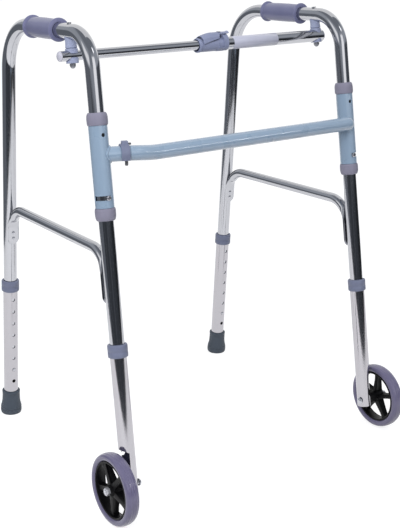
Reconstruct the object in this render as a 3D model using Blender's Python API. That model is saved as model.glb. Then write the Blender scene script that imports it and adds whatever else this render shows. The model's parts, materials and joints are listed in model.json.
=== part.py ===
# A folding walking frame: two tubular side frames swing inwards about their front legs, in the sleeves
# of a low crossbar, while a telescoping upper bar with a lock keeps them apart. Two wheels, two feet.
# Right and left are the user's, who stands behind the bars: right is -X, the front is -Y.
import math

import bmesh
import bpy
from mathutils import Matrix, Vector

# Stance, in metres. Heights are above the floor, and backs are measured behind the front leg's axis.
pivot_height = 0.600
front_leg_spacing = 0.5648
left_frame_setback = 0.0352
front_lean = 0.1772
leg_splay = 0.0093
frame_toe = math.radians(1.7)
leg_spread = 0.3578
rear_rake = 0.0556

# Side frame tube and its brace
leg_diameter = 0.0254
leg_wall = 0.0012
front_bend_radius = 0.0635
rear_bend_radius = 0.090
handle_height = 0.8071
handle_drop = 0.0475
brace_diameter = 0.019
brace_wall = 0.0011
brace_front_height = 0.4535
brace_rear_height = 0.4425
brace_bend_radius = 0.047
brace_end_height = 0.370
brace_flat_width = 0.0248
brace_slit = 0.0006
rivet_diameter = 0.0064
rivet_spacing = 0.011
rivet_from_end = 0.0125

# Hand grip
grip_start = 0.1225
grip_end = 0.2672
grip_diameter = 0.036
grip_neck_diameter = 0.0335
grip_flange_diameter = 0.040
grip_flange_thickness = 0.0045

# Leg extensions, their holes, collars and feet
extension_diameter = 0.0286
extension_wall = 0.0011
hole_pitch = 0.0254
button_diameter = 0.0066
button_travel = 0.0032
button_proud = 0.0015
button_leaf_length = 0.024
button_leaf_width = 0.008
button_leaf_thickness = 0.0006
front_button_height = 0.139
rear_button_height = 0.1001
front_hole_count = 7
rear_hole_count = 8
leg_end_below_button = 0.012
front_collar_top = 0.305
rear_collar_top = 0.291
collar_height = 0.0225
collar_diameter = 0.0344
collar_lip = 0.004
front_extension_bottom = 0.050
rear_extension_bottom = 0.009
foot_height = 0.050
foot_top_diameter = 0.035
foot_diameter = 0.042

# Crossbar, hinge sleeves and their bushes
crossbar_height = 0.611
crossbar_diameter = 0.0254
crossbar_wall = 0.0014
crossbar_ahead_right = 0.0107
crossbar_ahead_left = 0.024
crossbar_left_overhang = 0.007
crossbar_joint = 0.238
spigot_length = 0.024
sleeve_diameter = 0.03175
sleeve_wall = 0.0015
sleeve_bottom = 0.530
sleeve_top = 0.662
bush_rim_height = 0.021
bush_rim_diameter = 0.0349
bush_insert_length = 0.009
bush_chamfer = 0.0035
sleeve_hole_height = 0.647
sleeve_hole_diameter = 0.0058
stop_slot_height = 0.5466
stop_slot_width = 0.0075
stop_slot_turn = math.radians(84)
stop_screw_diameter = 0.0052
stop_screw_head_diameter = 0.0066
stop_screw_head_proud = 0.0012

# Clip over the crossbar's joint
clip_width = 0.021
clip_thickness = 0.0032
clip_leg_drop = 0.009
clip_lug_height = 0.005
clip_lug_length = 0.012
clip_lug_width = 0.010
clip_pin_diameter = 0.0044
clip_pin_below = 0.009
clip_pin_from_edge = 0.0055

# Upper bar and its brackets
bolt_setback = 0.068
bolt_diameter = 0.006
bolt_head_diameter = 0.0135
bolt_head_height = 0.0042
upper_bar_height = 0.7626
outer_bar_diameter = 0.0228
outer_bar_wall = 0.0008
inner_bar_wall = 0.0010
bar_play = 0.0020
bar_start_aside = 0.001665
bar_height_step = 0.00098
inner_bar_reach = 0.380
outer_bar_reach = 0.278
inner_bar_overhang = 0.023
outer_bar_overhang = 0.012
bar_plug_thickness = 0.0045
bar_plug_depth = 0.007
post_diameter = 0.020
saddle_diameter = 0.021
saddle_crown = 0.003
saddle_drop = 0.0125
acorn_nut_flats = 0.010
acorn_nut_height = 0.0045
acorn_dome_height = 0.004

# Lock on the upper bar, measured along the bar from the left bolt
lock_left_end = 0.297
lock_body_end = 0.2515
lock_ring_start = 0.241
lock_ring_end = 0.230
lock_lip_end = 0.2265
lock_pin_place = 0.2463
lock_sleeve_diameter = 0.0256
lock_left_bore = 0.0218
lock_crown = 0.0215
lock_shoulder = 0.0135
lock_rise_length = 0.034
lever_thickness = 0.0012
lever_start = 0.289
lever_pivot_place = 0.285
lever_pivot_height = 0.0133
lever_pin_diameter = 0.0022
lever_pin_length = 0.0145
lever_hole_play = 0.001
lock_ear_width = 0.0044
lock_roof_height = 0.0168
lock_roof_thickness = 0.0012
lock_pin_diameter = 0.0046
lock_pin_collar_diameter = 0.0074
lock_pin_collar_thickness = 0.0009
lock_pin_head_diameter = 0.0085
lock_pin_head_thickness = 0.0009
lock_spring_turns = 3
lock_spring_wire = 0.0006

# Wheels
wheel_diameter = 0.127
wheel_width = 0.024
wheel_ahead = 0.004
wheel_clear = 0.0195
tyre_depth = 0.0132
rim_thickness = 0.0045
hub_diameter = 0.023
hub_bore_diameter = 0.009
spoke_count = 5
spoke_width = 0.0085
spoke_depth = 0.013
axle_diameter = 0.0079
axle_head_diameter = 0.013
axle_head_height = 0.005
axle_nut_flats = 0.0125
axle_nut_height = 0.0065
hub_outboard = 0.0435
cutaway_plane = 0.003
cutaway_top = 0.128
cutaway_slant = 0.008
fork_plug_top = 0.099

# Fits and facets
gap = 0.0003
running_clearance = 0.0005
tube_sides = 16
wheel_sides = 32
small_sides = 10
hole_sides = 8
nut_sides = 12
brace_sides = 12
bend_steps = 7


# Scene and materials
def clear_scene():
    for thing in list(bpy.data.objects):
        bpy.data.objects.remove(thing, do_unlink=True)


def make_material(name, colour, roughness, metallic):
    material = bpy.data.materials.new(name)
    material.use_nodes = True
    shader = material.node_tree.nodes["Principled BSDF"]
    shader.inputs["Base Color"].default_value = (*colour, 1.0)
    shader.inputs["Roughness"].default_value = roughness
    shader.inputs["Metallic"].default_value = metallic
    return material


clear_scene()
chrome = make_material("polished_aluminium", (0.72, 0.73, 0.75), 0.12, 1.0)
satin = make_material("satin_aluminium", (0.62, 0.60, 0.64), 0.38, 1.0)
steel = make_material("zinc_steel", (0.55, 0.56, 0.58), 0.25, 1.0)
blue = make_material("blue_enamel", (0.28, 0.38, 0.51), 0.30, 0.0)
mauve = make_material("mauve_plastic", (0.27, 0.26, 0.36), 0.45, 0.0)
lilac = make_material("lilac_plastic", (0.21, 0.23, 0.37), 0.40, 0.0)
pale = make_material("pale_lilac_plastic", (0.40, 0.44, 0.66), 0.40, 0.0)
vinyl = make_material("plum_vinyl", (0.15, 0.14, 0.29), 0.50, 0.0)
tyre_rubber = make_material("lilac_tyre", (0.20, 0.18, 0.35), 0.30, 0.0)
black = make_material("black_plastic", (0.012, 0.012, 0.014), 0.35, 0.0)
slate = make_material("slate_rubber", (0.09, 0.12, 0.16), 0.60, 0.0)


# Placing: every empty keeps its world matrix here, and pieces are modelled in their empty's axes.
world_of = {}


def stand(name, world, parent=None):
    empty = bpy.data.objects.new(name, None)
    empty.empty_display_size = 0.03
    bpy.context.collection.objects.link(empty)
    local = world
    if parent is not None:
        empty.parent = parent
        local = world_of[parent.name].inverted() @ world
    empty.matrix_basis = local
    world_of[name] = world
    return empty


def add_piece(name, shape, material, parent):
    mesh = bpy.data.meshes.new(name)
    bmesh.ops.recalc_face_normals(shape, faces=shape.faces)
    shape.to_mesh(mesh)
    shape.free()
    mesh.materials.append(material)
    mesh.shade_smooth()
    mesh.set_sharp_from_angle(angle=math.radians(40))
    piece = bpy.data.objects.new(name, mesh)
    bpy.context.collection.objects.link(piece)
    piece.parent = parent
    return piece


def boolean(piece, shape, operation, label):
    cutter = add_piece(piece.name + "_" + label, shape, piece.data.materials[0], piece.parent)
    cutter.hide_render = True
    cutter.display_type = "WIRE"
    modifier = piece.modifiers.new(label, "BOOLEAN")
    modifier.operation = operation
    modifier.solver = "EXACT"
    modifier.object = cutter


def cut(piece, shape, label="cut"):
    boolean(piece, shape, "DIFFERENCE", label)


def fuse(piece, shape, label="joined"):
    boolean(piece, shape, "UNION", label)


# Shapes
def along(origin, direction, across=Vector((1.0, 0.0, 0.0))):
    """Axes whose Z runs along a direction and whose X lies as near to across as it can."""
    upward = Vector(direction).normalized()
    side = Vector(across) - Vector(across).dot(upward) * upward
    side.normalize()
    matrix = Matrix((side, upward.cross(side), upward)).transposed().to_4x4()
    matrix.translation = Vector(origin)
    return matrix


def bridge(shape, first, second):
    for index in range(len(first)):
        following = (index + 1) % len(first)
        shape.faces.new((first[index], first[following], second[following], second[index]))


def turned(profile, sides=tube_sides, matrix=Matrix(), hollow=False, flats=0.0, shape=None):
    """Turns (radius, height) points about Z. A hollow profile is a closed loop; flats makes a hexagon."""
    shape = shape or bmesh.new()
    rings = []
    for radius, height in profile:
        ring = []
        for index in range(sides if radius > 0 else 1):
            angle = 2 * math.pi * index / sides
            reach = radius
            if flats and radius >= flats / 2:
                off_corner = (angle + math.pi / 6) % (math.pi / 3) - math.pi / 6
                reach = flats / 2 / math.cos(math.pi / 6 - abs(off_corner))
            place = Vector((reach * math.cos(angle), reach * math.sin(angle), height))
            ring.append(shape.verts.new(matrix @ place))
        rings.append(ring)
    count = len(rings)
    for index in range(count if hollow else count - 1):
        first = rings[index]
        second = rings[(index + 1) % count]
        if len(first) == 1 or len(second) == 1:
            tip = first if len(first) == 1 else second
            ring = second if len(first) == 1 else first
            for corner in range(len(ring)):
                shape.faces.new((ring[corner], ring[(corner + 1) % len(ring)], tip[0]))
        else:
            bridge(shape, first, second)
    if not hollow:
        for ring in (rings[0], rings[-1]):
            if len(ring) > 1:
                shape.faces.new(ring)
    return shape


def pipe(outer, inner, start, end, sides=tube_sides, matrix=Matrix(), shape=None):
    """A straight tube of the given radii between two heights."""
    profile = [(outer, start), (outer, end), (inner, end), (inner, start)]
    return turned(profile, sides, matrix, hollow=True, shape=shape)


def rod(radius, start, end, sides=tube_sides, matrix=Matrix(), shape=None):
    return turned([(radius, start), (radius, end)], sides, matrix, shape=shape)


def block(low, high, shape=None, matrix=Matrix()):
    shape = shape or bmesh.new()
    corners = []
    for z in (low[2], high[2]):
        for x, y in ((low[0], low[1]), (high[0], low[1]), (high[0], high[1]), (low[0], high[1])):
            corners.append(shape.verts.new(matrix @ Vector((x, y, z))))
    shape.faces.new(corners[:4])
    shape.faces.new(corners[4:])
    bridge(shape, corners[:4], corners[4:])
    return shape


def prism(outline, low, high, matrix=Matrix(), shape=None):
    """Extrudes an outline of (x, y) points between two heights."""
    shape = shape or bmesh.new()
    rings = []
    for height in (low, high):
        rings.append([shape.verts.new(matrix @ Vector((x, y, height))) for x, y in outline])
    shape.faces.new(rings[0])
    shape.faces.new(rings[1])
    bridge(shape, rings[0], rings[1])
    return shape


def loft(sections, shape=None, closed=False):
    """Joins sections of points, each a list of the same length, with flat ends."""
    shape = shape or bmesh.new()
    rings = [[shape.verts.new(point) for point in section] for section in sections]
    for first, second in zip(rings, rings[1:]):
        bridge(shape, first, second)
    if closed:
        bridge(shape, rings[-1], rings[0])
    else:
        shape.faces.new(rings[0])
        shape.faces.new(rings[-1])
    return shape


def rounded_path(corners, radii, steps=bend_steps):
    """A path through corners, with an arc of the given radius at each one between the ends."""
    points = [corners[0]]
    for before, corner, after, radius in zip(corners, corners[1:], corners[2:], radii):
        inward = (before - corner).normalized()
        outward = (after - corner).normalized()
        half = inward.angle(outward) / 2
        middle = corner + (inward + outward).normalized() * radius / math.sin(half)
        start = corner + inward * radius / math.tan(half) - middle
        turn = math.pi - 2 * half
        axis = (-inward).cross(outward).normalized()
        for step in range(steps + 1):
            points.append(middle + Matrix.Rotation(turn * step / steps, 3, axis) @ start)
    points.append(corners[-1])
    return points


def swept_tube(points, across, size_at, sides=tube_sides):
    """Sweeps a hollow section along a flat path. size_at gives the outer and inner half widths,
    across the path's plane and in it, at each point."""
    outers, inners = [], []
    for index, point in enumerate(points):
        before = points[max(index - 1, 0)]
        after = points[min(index + 1, len(points) - 1)]
        ahead = (after - before).normalized()
        normal = ahead.cross(across).normalized()
        outer, inner = size_at(index)
        for rings, size in ((outers, outer), (inners, inner)):
            ring = []
            for corner in range(sides):
                angle = 2 * math.pi * corner / sides
                ring.append(point + across * size[0] * math.cos(angle) + normal * size[1] * math.sin(angle))
            rings.append(ring)
    return loft(outers + inners[::-1], closed=True)


# Side frames: the hinge axis is the front leg's, and a frame is drawn in the plane of its legs.
sides = {"right": -1, "left": 1}
lean_length = math.hypot(1.0, front_lean)


def plane_point(back, height):
    """A place in a side frame's plane, in its hinge's axes: Y back from the axis, Z up along it."""
    rise = height - pivot_height
    return Vector((0.0, (back - front_lean * rise) / lean_length, (back * front_lean + rise) / lean_length))


def plane_direction(back, rise):
    return Vector((0.0, back - front_lean * rise, back * front_lean + rise)).normalized()


def hinge_axes(sign, toe, middle):
    upward = Vector((-sign * leg_splay, front_lean, 1.0)).normalized()
    back = Vector((0.0, 1.0, 0.0)) - upward.y * upward
    back.normalize()
    turn = Matrix.Rotation(sign * toe, 3, upward)
    axes = Matrix((turn @ back.cross(upward), turn @ back, upward)).transposed().to_4x4()
    setback = left_frame_setback if sign > 0 else 0.0
    axes.translation = Vector((sign * front_leg_spacing / 2, setback - middle, pivot_height))
    return axes


def floor_crossing(axes, point, direction):
    """Where a line in an axes' space meets the floor, in that space."""
    start = axes @ point
    step = axes.to_3x3() @ direction
    return point - direction * start.z / step.z


def crossing(point, direction, other, other_direction):
    """Where two lines of a frame's plane meet."""
    span = other - point
    area = direction.y * other_direction.z - direction.z * other_direction.y
    reach = (span.y * other_direction.z - span.z * other_direction.y) / area
    return point + direction * reach


hinge_up = Vector((0.0, 0.0, 1.0))
across_frame = Vector((1.0, 0.0, 0.0))
rear_up = plane_direction(-rear_rake, 1.0)
rear_place = plane_point(leg_spread, pivot_height)
handle_place = plane_point(0.0, handle_height)
handle_back = plane_direction(1.0, -handle_drop)

# The origin stands in the middle of the footprint, between the right wheel's front and the left foot's back.
leg_radius = leg_diameter / 2
extension_radius = extension_diameter / 2
foot_radius = foot_diameter / 2
wheel_radius = wheel_diameter / 2
footprint_front = -front_lean * (pivot_height - wheel_radius) - wheel_ahead - wheel_radius
left_axes = hinge_axes(1, frame_toe, 0.0)
footprint_back = (left_axes @ floor_crossing(left_axes, rear_place, rear_up)).y + foot_radius
footprint_middle = (footprint_front + footprint_back) / 2

root = stand("walker", Matrix())
frames, hinge_lines, front_legs, rear_legs = {}, {}, {}, {}
for name, sign in sides.items():
    axes = hinge_axes(sign, frame_toe, footprint_middle)
    frames[name] = stand(name + "_frame", axes, root)
    straight = hinge_axes(sign, 0.0, footprint_middle)
    foot_of_axis = floor_crossing(straight, Vector(), hinge_up)
    straight = straight @ Matrix.Translation(foot_of_axis)
    hinge_lines[name] = stand(name + "_hinge_line", straight, root)
    front_legs[name] = stand(name + "_front_leg_line", straight, frames[name])
    rear_axes = axes @ along(floor_crossing(axes, rear_place, rear_up), rear_up)
    rear_legs[name] = stand(name + "_rear_leg_line", rear_axes, frames[name])


def up_leg(leg, height):
    """The distance along a leg line at which it passes a height above the floor."""
    return height / world_of[leg.name].to_3x3().col[2].z


def in_frame(name, leg, height):
    """A place on a leg line, in its side frame's axes."""
    local = world_of[frames[name].name].inverted() @ world_of[leg.name]
    return local @ Vector((0.0, 0.0, up_leg(leg, height)))


# One bent tube makes front leg, handle and rear leg. It is bored for the snap buttons, the bracket's
# bolt and the stop screw.
def bolt_axes(name):
    """The bracket bolt's line in the frame's axes, with its origin at the upper bar's height."""
    axes = world_of[frames[name].name]
    foot = axes @ Vector((0.0, bolt_setback, 0.0))
    height = upper_bar_height - sides[name] * bar_height_step / 2
    rise = (height - foot.z) / axes.to_3x3().col[2].z
    return Vector((0.0, bolt_setback, rise))


def handle_over_bolt(name):
    return crossing(bolt_axes(name), hinge_up, handle_place, handle_back).z


def button_side(leg_name):
    """Buttons of the front legs face backwards, and those of the rear legs forwards."""
    return 1 if leg_name == "front" else -1


def button_hole(leg_name, heights, radius, inner, outer, matrix=Matrix()):
    shape = bmesh.new()
    facing = Vector((0.0, button_side(leg_name), 0.0))
    for height in heights:
        rod(radius, inner, outer, hole_sides, matrix @ along((0.0, 0.0, height), facing), shape)
    return shape


leg_kinds = {
    "front": (front_legs, front_button_height),
    "rear": (rear_legs, rear_button_height),
}


def make_side_frame(name):
    legs = {kind: (lines[name], height) for kind, (lines, height) in leg_kinds.items()}
    ends = {kind: in_frame(name, leg, height - leg_end_below_button) for kind, (leg, height) in legs.items()}
    front_corner = crossing(Vector(), hinge_up, handle_place, handle_back)
    rear_corner = crossing(rear_place, rear_up, handle_place, handle_back)
    corners = [ends["front"], front_corner, rear_corner, ends["rear"]]
    path = rounded_path(corners, [front_bend_radius, rear_bend_radius])
    outer = (leg_radius, leg_radius)
    inner = (leg_radius - leg_wall, leg_radius - leg_wall)
    tube = add_piece(name + "_side_frame", swept_tube(path, across_frame, lambda index: (outer, inner)),
                     chrome, frames[name])
    into = world_of[frames[name].name].inverted()
    for kind, (leg, height) in legs.items():
        holes = button_hole(kind, [up_leg(leg, height)], button_diameter / 2 + gap, leg_radius / 2,
                            leg_radius * 1.2, into @ world_of[leg.name])
        cut(tube, holes, kind + "_button_hole")
    bolt = bolt_axes(name)
    top = handle_over_bolt(name)
    hole = rod(bolt_diameter / 2 + gap, top - leg_diameter, top + leg_diameter, small_sides,
               Matrix.Translation((0.0, bolt.y, 0.0)))
    cut(tube, hole, "bolt_hole")
    screw_height = in_frame(name, front_legs[name], stop_slot_height).z
    hole = rod(stop_screw_diameter / 2 + gap, 0.0, leg_diameter, small_sides,
               along((0.0, 0.0, screw_height), (0.0, -1.0, 0.0)))
    cut(tube, hole, "stop_screw_hole")


# A thinner tube braces the legs. Its ends turn down, are pressed flat and are riveted to the legs.
def make_side_brace(name):
    flat_thickness = brace_wall + brace_slit / 2
    stand_off = leg_radius + gap + flat_thickness
    front_normal = Vector((0.0, 1.0, 0.0))
    rear_normal = Vector((0.0, -rear_up.z, rear_up.y))
    front_line = in_frame(name, front_legs[name], brace_end_height) + front_normal * stand_off
    rear_line = in_frame(name, rear_legs[name], brace_end_height) + rear_normal * stand_off
    run_start = plane_point(0.0, brace_front_height)
    run = plane_point(leg_spread, brace_rear_height) - run_start
    front_corner = crossing(front_line, hinge_up, run_start, run)
    rear_corner = crossing(rear_line, rear_up, run_start, run)
    path = rounded_path([front_line, front_corner, rear_corner, rear_line],
                        [brace_bend_radius, brace_bend_radius])
    radius = brace_diameter / 2
    last = len(path) - 1

    def size_at(index):
        place = min(index, last - index)
        roundness = min(max(place - 1, 0) / 3, 1.0) ** 2
        wide = brace_flat_width / 2 + (radius - brace_flat_width / 2) * roundness
        thick = flat_thickness + (radius - flat_thickness) * roundness
        return (wide, thick), (wide - brace_wall, thick - brace_wall)

    brace = add_piece(name + "_side_brace", swept_tube(path, across_frame, size_at, brace_sides), chrome, frames[name])
    rivets = bmesh.new()
    for foot, upward, outward in ((front_line, hinge_up, front_normal), (rear_line, rear_up, rear_normal)):
        for place in (rivet_from_end, rivet_from_end + rivet_spacing):
            seat = along(foot + upward * place, outward)
            rivet_radius = rivet_diameter / 2
            profile = [(rivet_radius * 0.5, -flat_thickness), (rivet_radius * 0.5, flat_thickness - gap / 3),
                       (rivet_radius, flat_thickness - gap / 3), (rivet_radius * 0.9, flat_thickness * 1.6),
                       (rivet_radius * 0.4, flat_thickness * 2.1)]
            turned(profile, small_sides, seat, shape=rivets)
    fuse(brace, rivets, "rivets")


# Grip: a soft sleeve pushed over the handle, waisted next to its two flanges.
def make_grip(name):
    length = grip_end - grip_start
    middle = plane_point((grip_start + grip_end) / 2, 0.0)
    foot = crossing(middle, plane_direction(0.0, 1.0), handle_place, handle_back)
    bore = leg_radius + running_clearance
    flange = grip_flange_diameter / 2
    neck = grip_neck_diameter / 2
    barrel = grip_diameter / 2
    edge = grip_flange_thickness / 4
    profile = []
    for end in (-1, 1):
        half = [(bore, length / 2), (flange - edge, length / 2), (flange, length / 2 - edge),
                (flange, length / 2 - grip_flange_thickness + edge), (neck, length / 2 - grip_flange_thickness),
                (neck, length / 2 - 2 * grip_flange_thickness), (barrel * 0.985, length * 0.36),
                (barrel, length * 0.2)]
        half = [(radius, end * height) for radius, height in half]
        profile += half if end < 0 else half[::-1]
    add_piece(name + "_grip", turned(profile, tube_sides, along(foot, handle_back), hollow=True), vinyl, frames[name])


# Extension: an outer tube with a row of holes, capped by a plastic collar that guides the leg.
def make_extension(name, kind, bottom, collar_top, hole_count):
    lines, button_height = leg_kinds[kind]
    leg = lines[name]
    start = up_leg(leg, bottom)
    lip = up_leg(leg, collar_top)
    end = lip - collar_lip
    button = up_leg(leg, button_height)
    inner = extension_radius - extension_wall
    tube = add_piece(name + "_" + kind + "_extension", pipe(extension_radius, inner, start, end), satin, leg)
    heights = [button + hole_pitch * (index - 1) for index in range(hole_count)]
    holes = button_hole(kind, heights, button_diameter / 2 + gap, leg_radius / 2, extension_radius * 1.2)
    cut(tube, holes, "adjusting_holes")
    outer = collar_diameter / 2
    chamfer = collar_height / 7
    seat = extension_radius + gap
    guide = leg_radius + running_clearance
    profile = [(outer - chamfer / 2, lip - collar_height), (outer, lip - collar_height + chamfer / 2),
               (outer, lip - chamfer), (outer - chamfer / 2, lip), (guide, lip), (guide, lip - collar_lip + gap),
               (seat, lip - collar_lip + gap), (seat, lip - collar_height)]
    add_piece(name + "_" + kind + "_collar", turned(profile, hollow=True), lilac, leg)
    return tube


# Snap button: a domed pin on a leaf spring bent into a hairpin inside the leg.
def make_button(name, kind):
    lines, button_height = leg_kinds[kind]
    leg = lines[name]
    facing = button_side(kind)
    height = up_leg(leg, button_height)
    bore = leg_radius - leg_wall
    seat = bore - button_leaf_thickness - gap
    tip = extension_radius + button_proud
    radius = button_diameter / 2
    profile = [(radius, seat - button_leaf_thickness), (radius, tip - radius / 2), (radius * 0.8, tip - radius / 6),
               (0.0, tip)]
    pin = turned(profile, small_sides, along((0.0, 0.0, height), (0.0, facing, 0.0)))
    button = add_piece(name + "_" + kind + "_button", pin, steel, leg)
    flat_bore = bore * math.cos(math.pi / tube_sides)
    far = math.sqrt(flat_bore ** 2 - (button_leaf_width / 2) ** 2) - button_travel - gap
    leaf_radius = (seat + far) / 2 - button_leaf_thickness
    middle = (seat - far) / 2 * facing
    near_side = middle + facing * leaf_radius
    far_side = middle - facing * leaf_radius
    path = [Vector((0.0, near_side, height - button_diameter)), Vector((0.0, near_side, height + button_leaf_length))]
    steps = 6
    for step in range(1, steps):
        angle = math.pi * step / steps
        path.append(Vector((0.0, middle + facing * leaf_radius * math.cos(angle),
                            height + button_leaf_length + leaf_radius * math.sin(angle))))
    path.append(Vector((0.0, far_side, height + button_leaf_length)))
    path.append(Vector((0.0, far_side * 0.8, height)))
    half_wide = button_leaf_width / 2
    half_thick = button_leaf_thickness / 2 + gap
    sections = []
    for index, point in enumerate(path):
        ahead = (path[min(index + 1, len(path) - 1)] - path[max(index - 1, 0)]).normalized()
        normal = ahead.cross(across_frame) * half_thick
        wide = across_frame * half_wide
        sections.append([point + wide + normal, point - wide + normal, point - wide - normal,
                         point + wide - normal])
    fuse(button, loft(sections), "leaf")


# Foot: a rubber cup with a flared, rounded tread, cut level with the floor.
def make_foot(name):
    leg = rear_legs[name]
    bore = extension_radius + gap
    top = up_leg(leg, foot_height)
    cup = up_leg(leg, rear_extension_bottom) - gap
    top_radius = foot_top_diameter / 2
    tread = 0.0015
    profile = [(0.0, -tread), (foot_radius * 0.86, -tread), (foot_radius * 0.96, 0.002), (foot_radius, 0.006),
               (foot_radius * 0.985, 0.014), (foot_radius * 0.90, 0.021), (top_radius * 1.02, 0.028),
               (top_radius, top - 0.002), (top_radius - 0.001, top), (bore, top), (bore, cup), (0.0, cup)]
    shape = turned(profile, 24)
    level = world_of[leg.name].to_3x3().inverted() @ Vector((0.0, 0.0, 1.0))
    geometry = list(shape.verts) + list(shape.edges) + list(shape.faces)
    bmesh.ops.bisect_plane(shape, geom=geometry, plane_co=(0.0, 0.0, 0.0), plane_no=level, clear_inner=True)
    open_edges = [edge for edge in shape.edges if edge.is_boundary]
    bmesh.ops.holes_fill(shape, edges=open_edges)
    add_piece(name + "_foot", shape, slate, leg)


# Crossbar: it is coped and welded to the left hinge sleeve, and its spigot plugs into the right one's stub.
def bar_point(name, ahead):
    """The crossbar's centre line where it passes a hinge sleeve, in the walker's axes."""
    line = world_of[hinge_lines[name].name]
    place = line @ Vector((0.0, 0.0, up_leg(hinge_lines[name], crossbar_height)))
    return place - Vector((0.0, ahead, 0.0))


def sleeve_tube(name, shape=None):
    line = hinge_lines[name]
    outer = sleeve_diameter / 2
    return pipe(outer, outer - sleeve_wall, up_leg(line, sleeve_bottom), up_leg(line, sleeve_top),
                matrix=world_of[line.name], shape=shape)


def cope(name, radius):
    """The round space inside a sleeve, which the crossbar's end is cut to fit."""
    line = hinge_lines[name]
    return rod(radius, up_leg(line, sleeve_bottom), up_leg(line, sleeve_top), matrix=world_of[line.name])


def cut_sleeve_openings(piece, name):
    line = hinge_lines[name]
    sign = sides[name]
    outer = sleeve_diameter / 2
    hole_place = world_of[line.name] @ along((0.0, 0.0, up_leg(line, sleeve_hole_height)), (0.0, -1.0, 0.0))
    cut(piece, rod(sleeve_hole_diameter / 2, leg_radius, outer * 1.3, small_sides, hole_place), "sleeve_hole")
    margin = (stop_screw_head_diameter / 2 + gap) / (outer - sleeve_wall)
    start = -math.pi / 2 + sign * frame_toe
    outline = []
    steps = 12
    for reach in (leg_radius + sleeve_wall / 2, outer * 1.3):
        arc = []
        for step in range(steps + 1):
            angle = start + sign * (-margin + (stop_slot_turn + 2 * margin) * step / steps)
            arc.append((reach * math.cos(angle), reach * math.sin(angle)))
        outline += arc if reach < outer else arc[::-1]
    middle = up_leg(line, stop_slot_height)
    slot = prism(outline, middle - stop_slot_width / 2, middle + stop_slot_width / 2, world_of[line.name])
    cut(piece, slot, "stop_slot")


bar_right = bar_point("right", crossbar_ahead_right)
bar_left = bar_point("left", crossbar_ahead_left)
bar_direction = (bar_left - bar_right).normalized()
joint_reach = (-crossbar_joint - bar_right.x) / bar_direction.x
joint_axes = along(bar_right + bar_direction * joint_reach, bar_direction, (0.0, 1.0, 0.0))
joint = stand("crossbar_joint_line", joint_axes, root)
crossbar_radius = crossbar_diameter / 2
crossbar_bore = crossbar_radius - crossbar_wall
spigot_radius = crossbar_bore - gap


def make_crossbar():
    end = (bar_left - joint_axes.translation).length - crossbar_left_overhang
    spigot_bore = spigot_radius - crossbar_wall
    profile = [(spigot_radius, -spigot_length), (spigot_radius, gap), (crossbar_radius, gap),
               (crossbar_radius, end), (spigot_bore, end), (spigot_bore, -spigot_length)]
    bar = add_piece("crossbar", turned(profile, matrix=joint_axes, hollow=True), blue, root)
    cut(bar, cope("left", sleeve_diameter / 2 - sleeve_wall / 2), "cope")
    fuse(bar, sleeve_tube("left"), "left_sleeve")
    cut_sleeve_openings(bar, "left")
    cut(bar, clip_pin_bore(), "pin_bore")
    return bar


def make_right_sleeve():
    stub_length = joint_reach
    profile = [(crossbar_radius, -stub_length), (crossbar_radius, 0.0), (crossbar_bore, 0.0),
               (crossbar_bore, -stub_length)]
    sleeve = add_piece("right_hinge_sleeve", turned(profile, matrix=joint_axes, hollow=True), blue, root)
    cut(sleeve, cope("right", sleeve_diameter / 2 - sleeve_wall / 2), "cope")
    fuse(sleeve, sleeve_tube("right"), "sleeve")
    cut_sleeve_openings(sleeve, "right")
    cut(sleeve, clip_pin_bore(), "pin_bore")


def make_bushes(name):
    line = hinge_lines[name]
    inner = leg_radius + running_clearance
    rim = bush_rim_diameter / 2
    insert = sleeve_diameter / 2 - sleeve_wall - gap
    for place, height, upward in (("upper", sleeve_top, 1), ("lower", sleeve_bottom, -1)):
        seat = up_leg(line, height)
        profile = [(inner, -bush_insert_length), (insert, -bush_insert_length), (insert, gap), (rim, gap),
                   (rim, bush_rim_height - bush_chamfer), (rim - bush_chamfer * 0.6, bush_rim_height),
                   (inner, bush_rim_height)]
        profile = [(radius, seat + upward * offset) for radius, offset in profile]
        add_piece(name + "_" + place + "_bush", turned(profile, hollow=True), mauve, line)


# Stop screw: fixed in the leg, its head turns in the sleeve's slot and keeps the sleeve at its height.
def make_stop_screw(name):
    height = in_frame(name, front_legs[name], stop_slot_height).z
    shank = stop_screw_diameter / 2
    head = stop_screw_head_diameter / 2
    shoulder = leg_radius + gap
    top = sleeve_diameter / 2 + stop_screw_head_proud
    profile = [(shank, leg_radius * 0.6), (shank, shoulder), (head, shoulder), (head, top - head * 0.3),
               (head * 0.7, top)]
    shape = turned(profile, small_sides, along((0.0, 0.0, height), (0.0, -1.0, 0.0)))
    add_piece(name + "_stop_screw", shape, steel, frames[name])


# Clip: a saddle over the joint with a lug, and the steel pin that locks stub and spigot together.
clip_pin_drop = crossbar_radius + clip_pin_below
clip_crown = crossbar_radius + gap + clip_thickness
clip_pin_axes = joint_axes @ along((0.0, 0.0, -clip_pin_from_edge), (0.0, 1.0, 0.0), (0.0, 0.0, 1.0))
clip_up = (clip_pin_axes.to_3x3() @ Vector((0.0, 0.0, 1.0))).normalized()


def clip_pin_bore():
    return rod(clip_pin_diameter / 2 + gap, -crossbar_diameter, crossbar_diameter, small_sides, clip_pin_axes)


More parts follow.
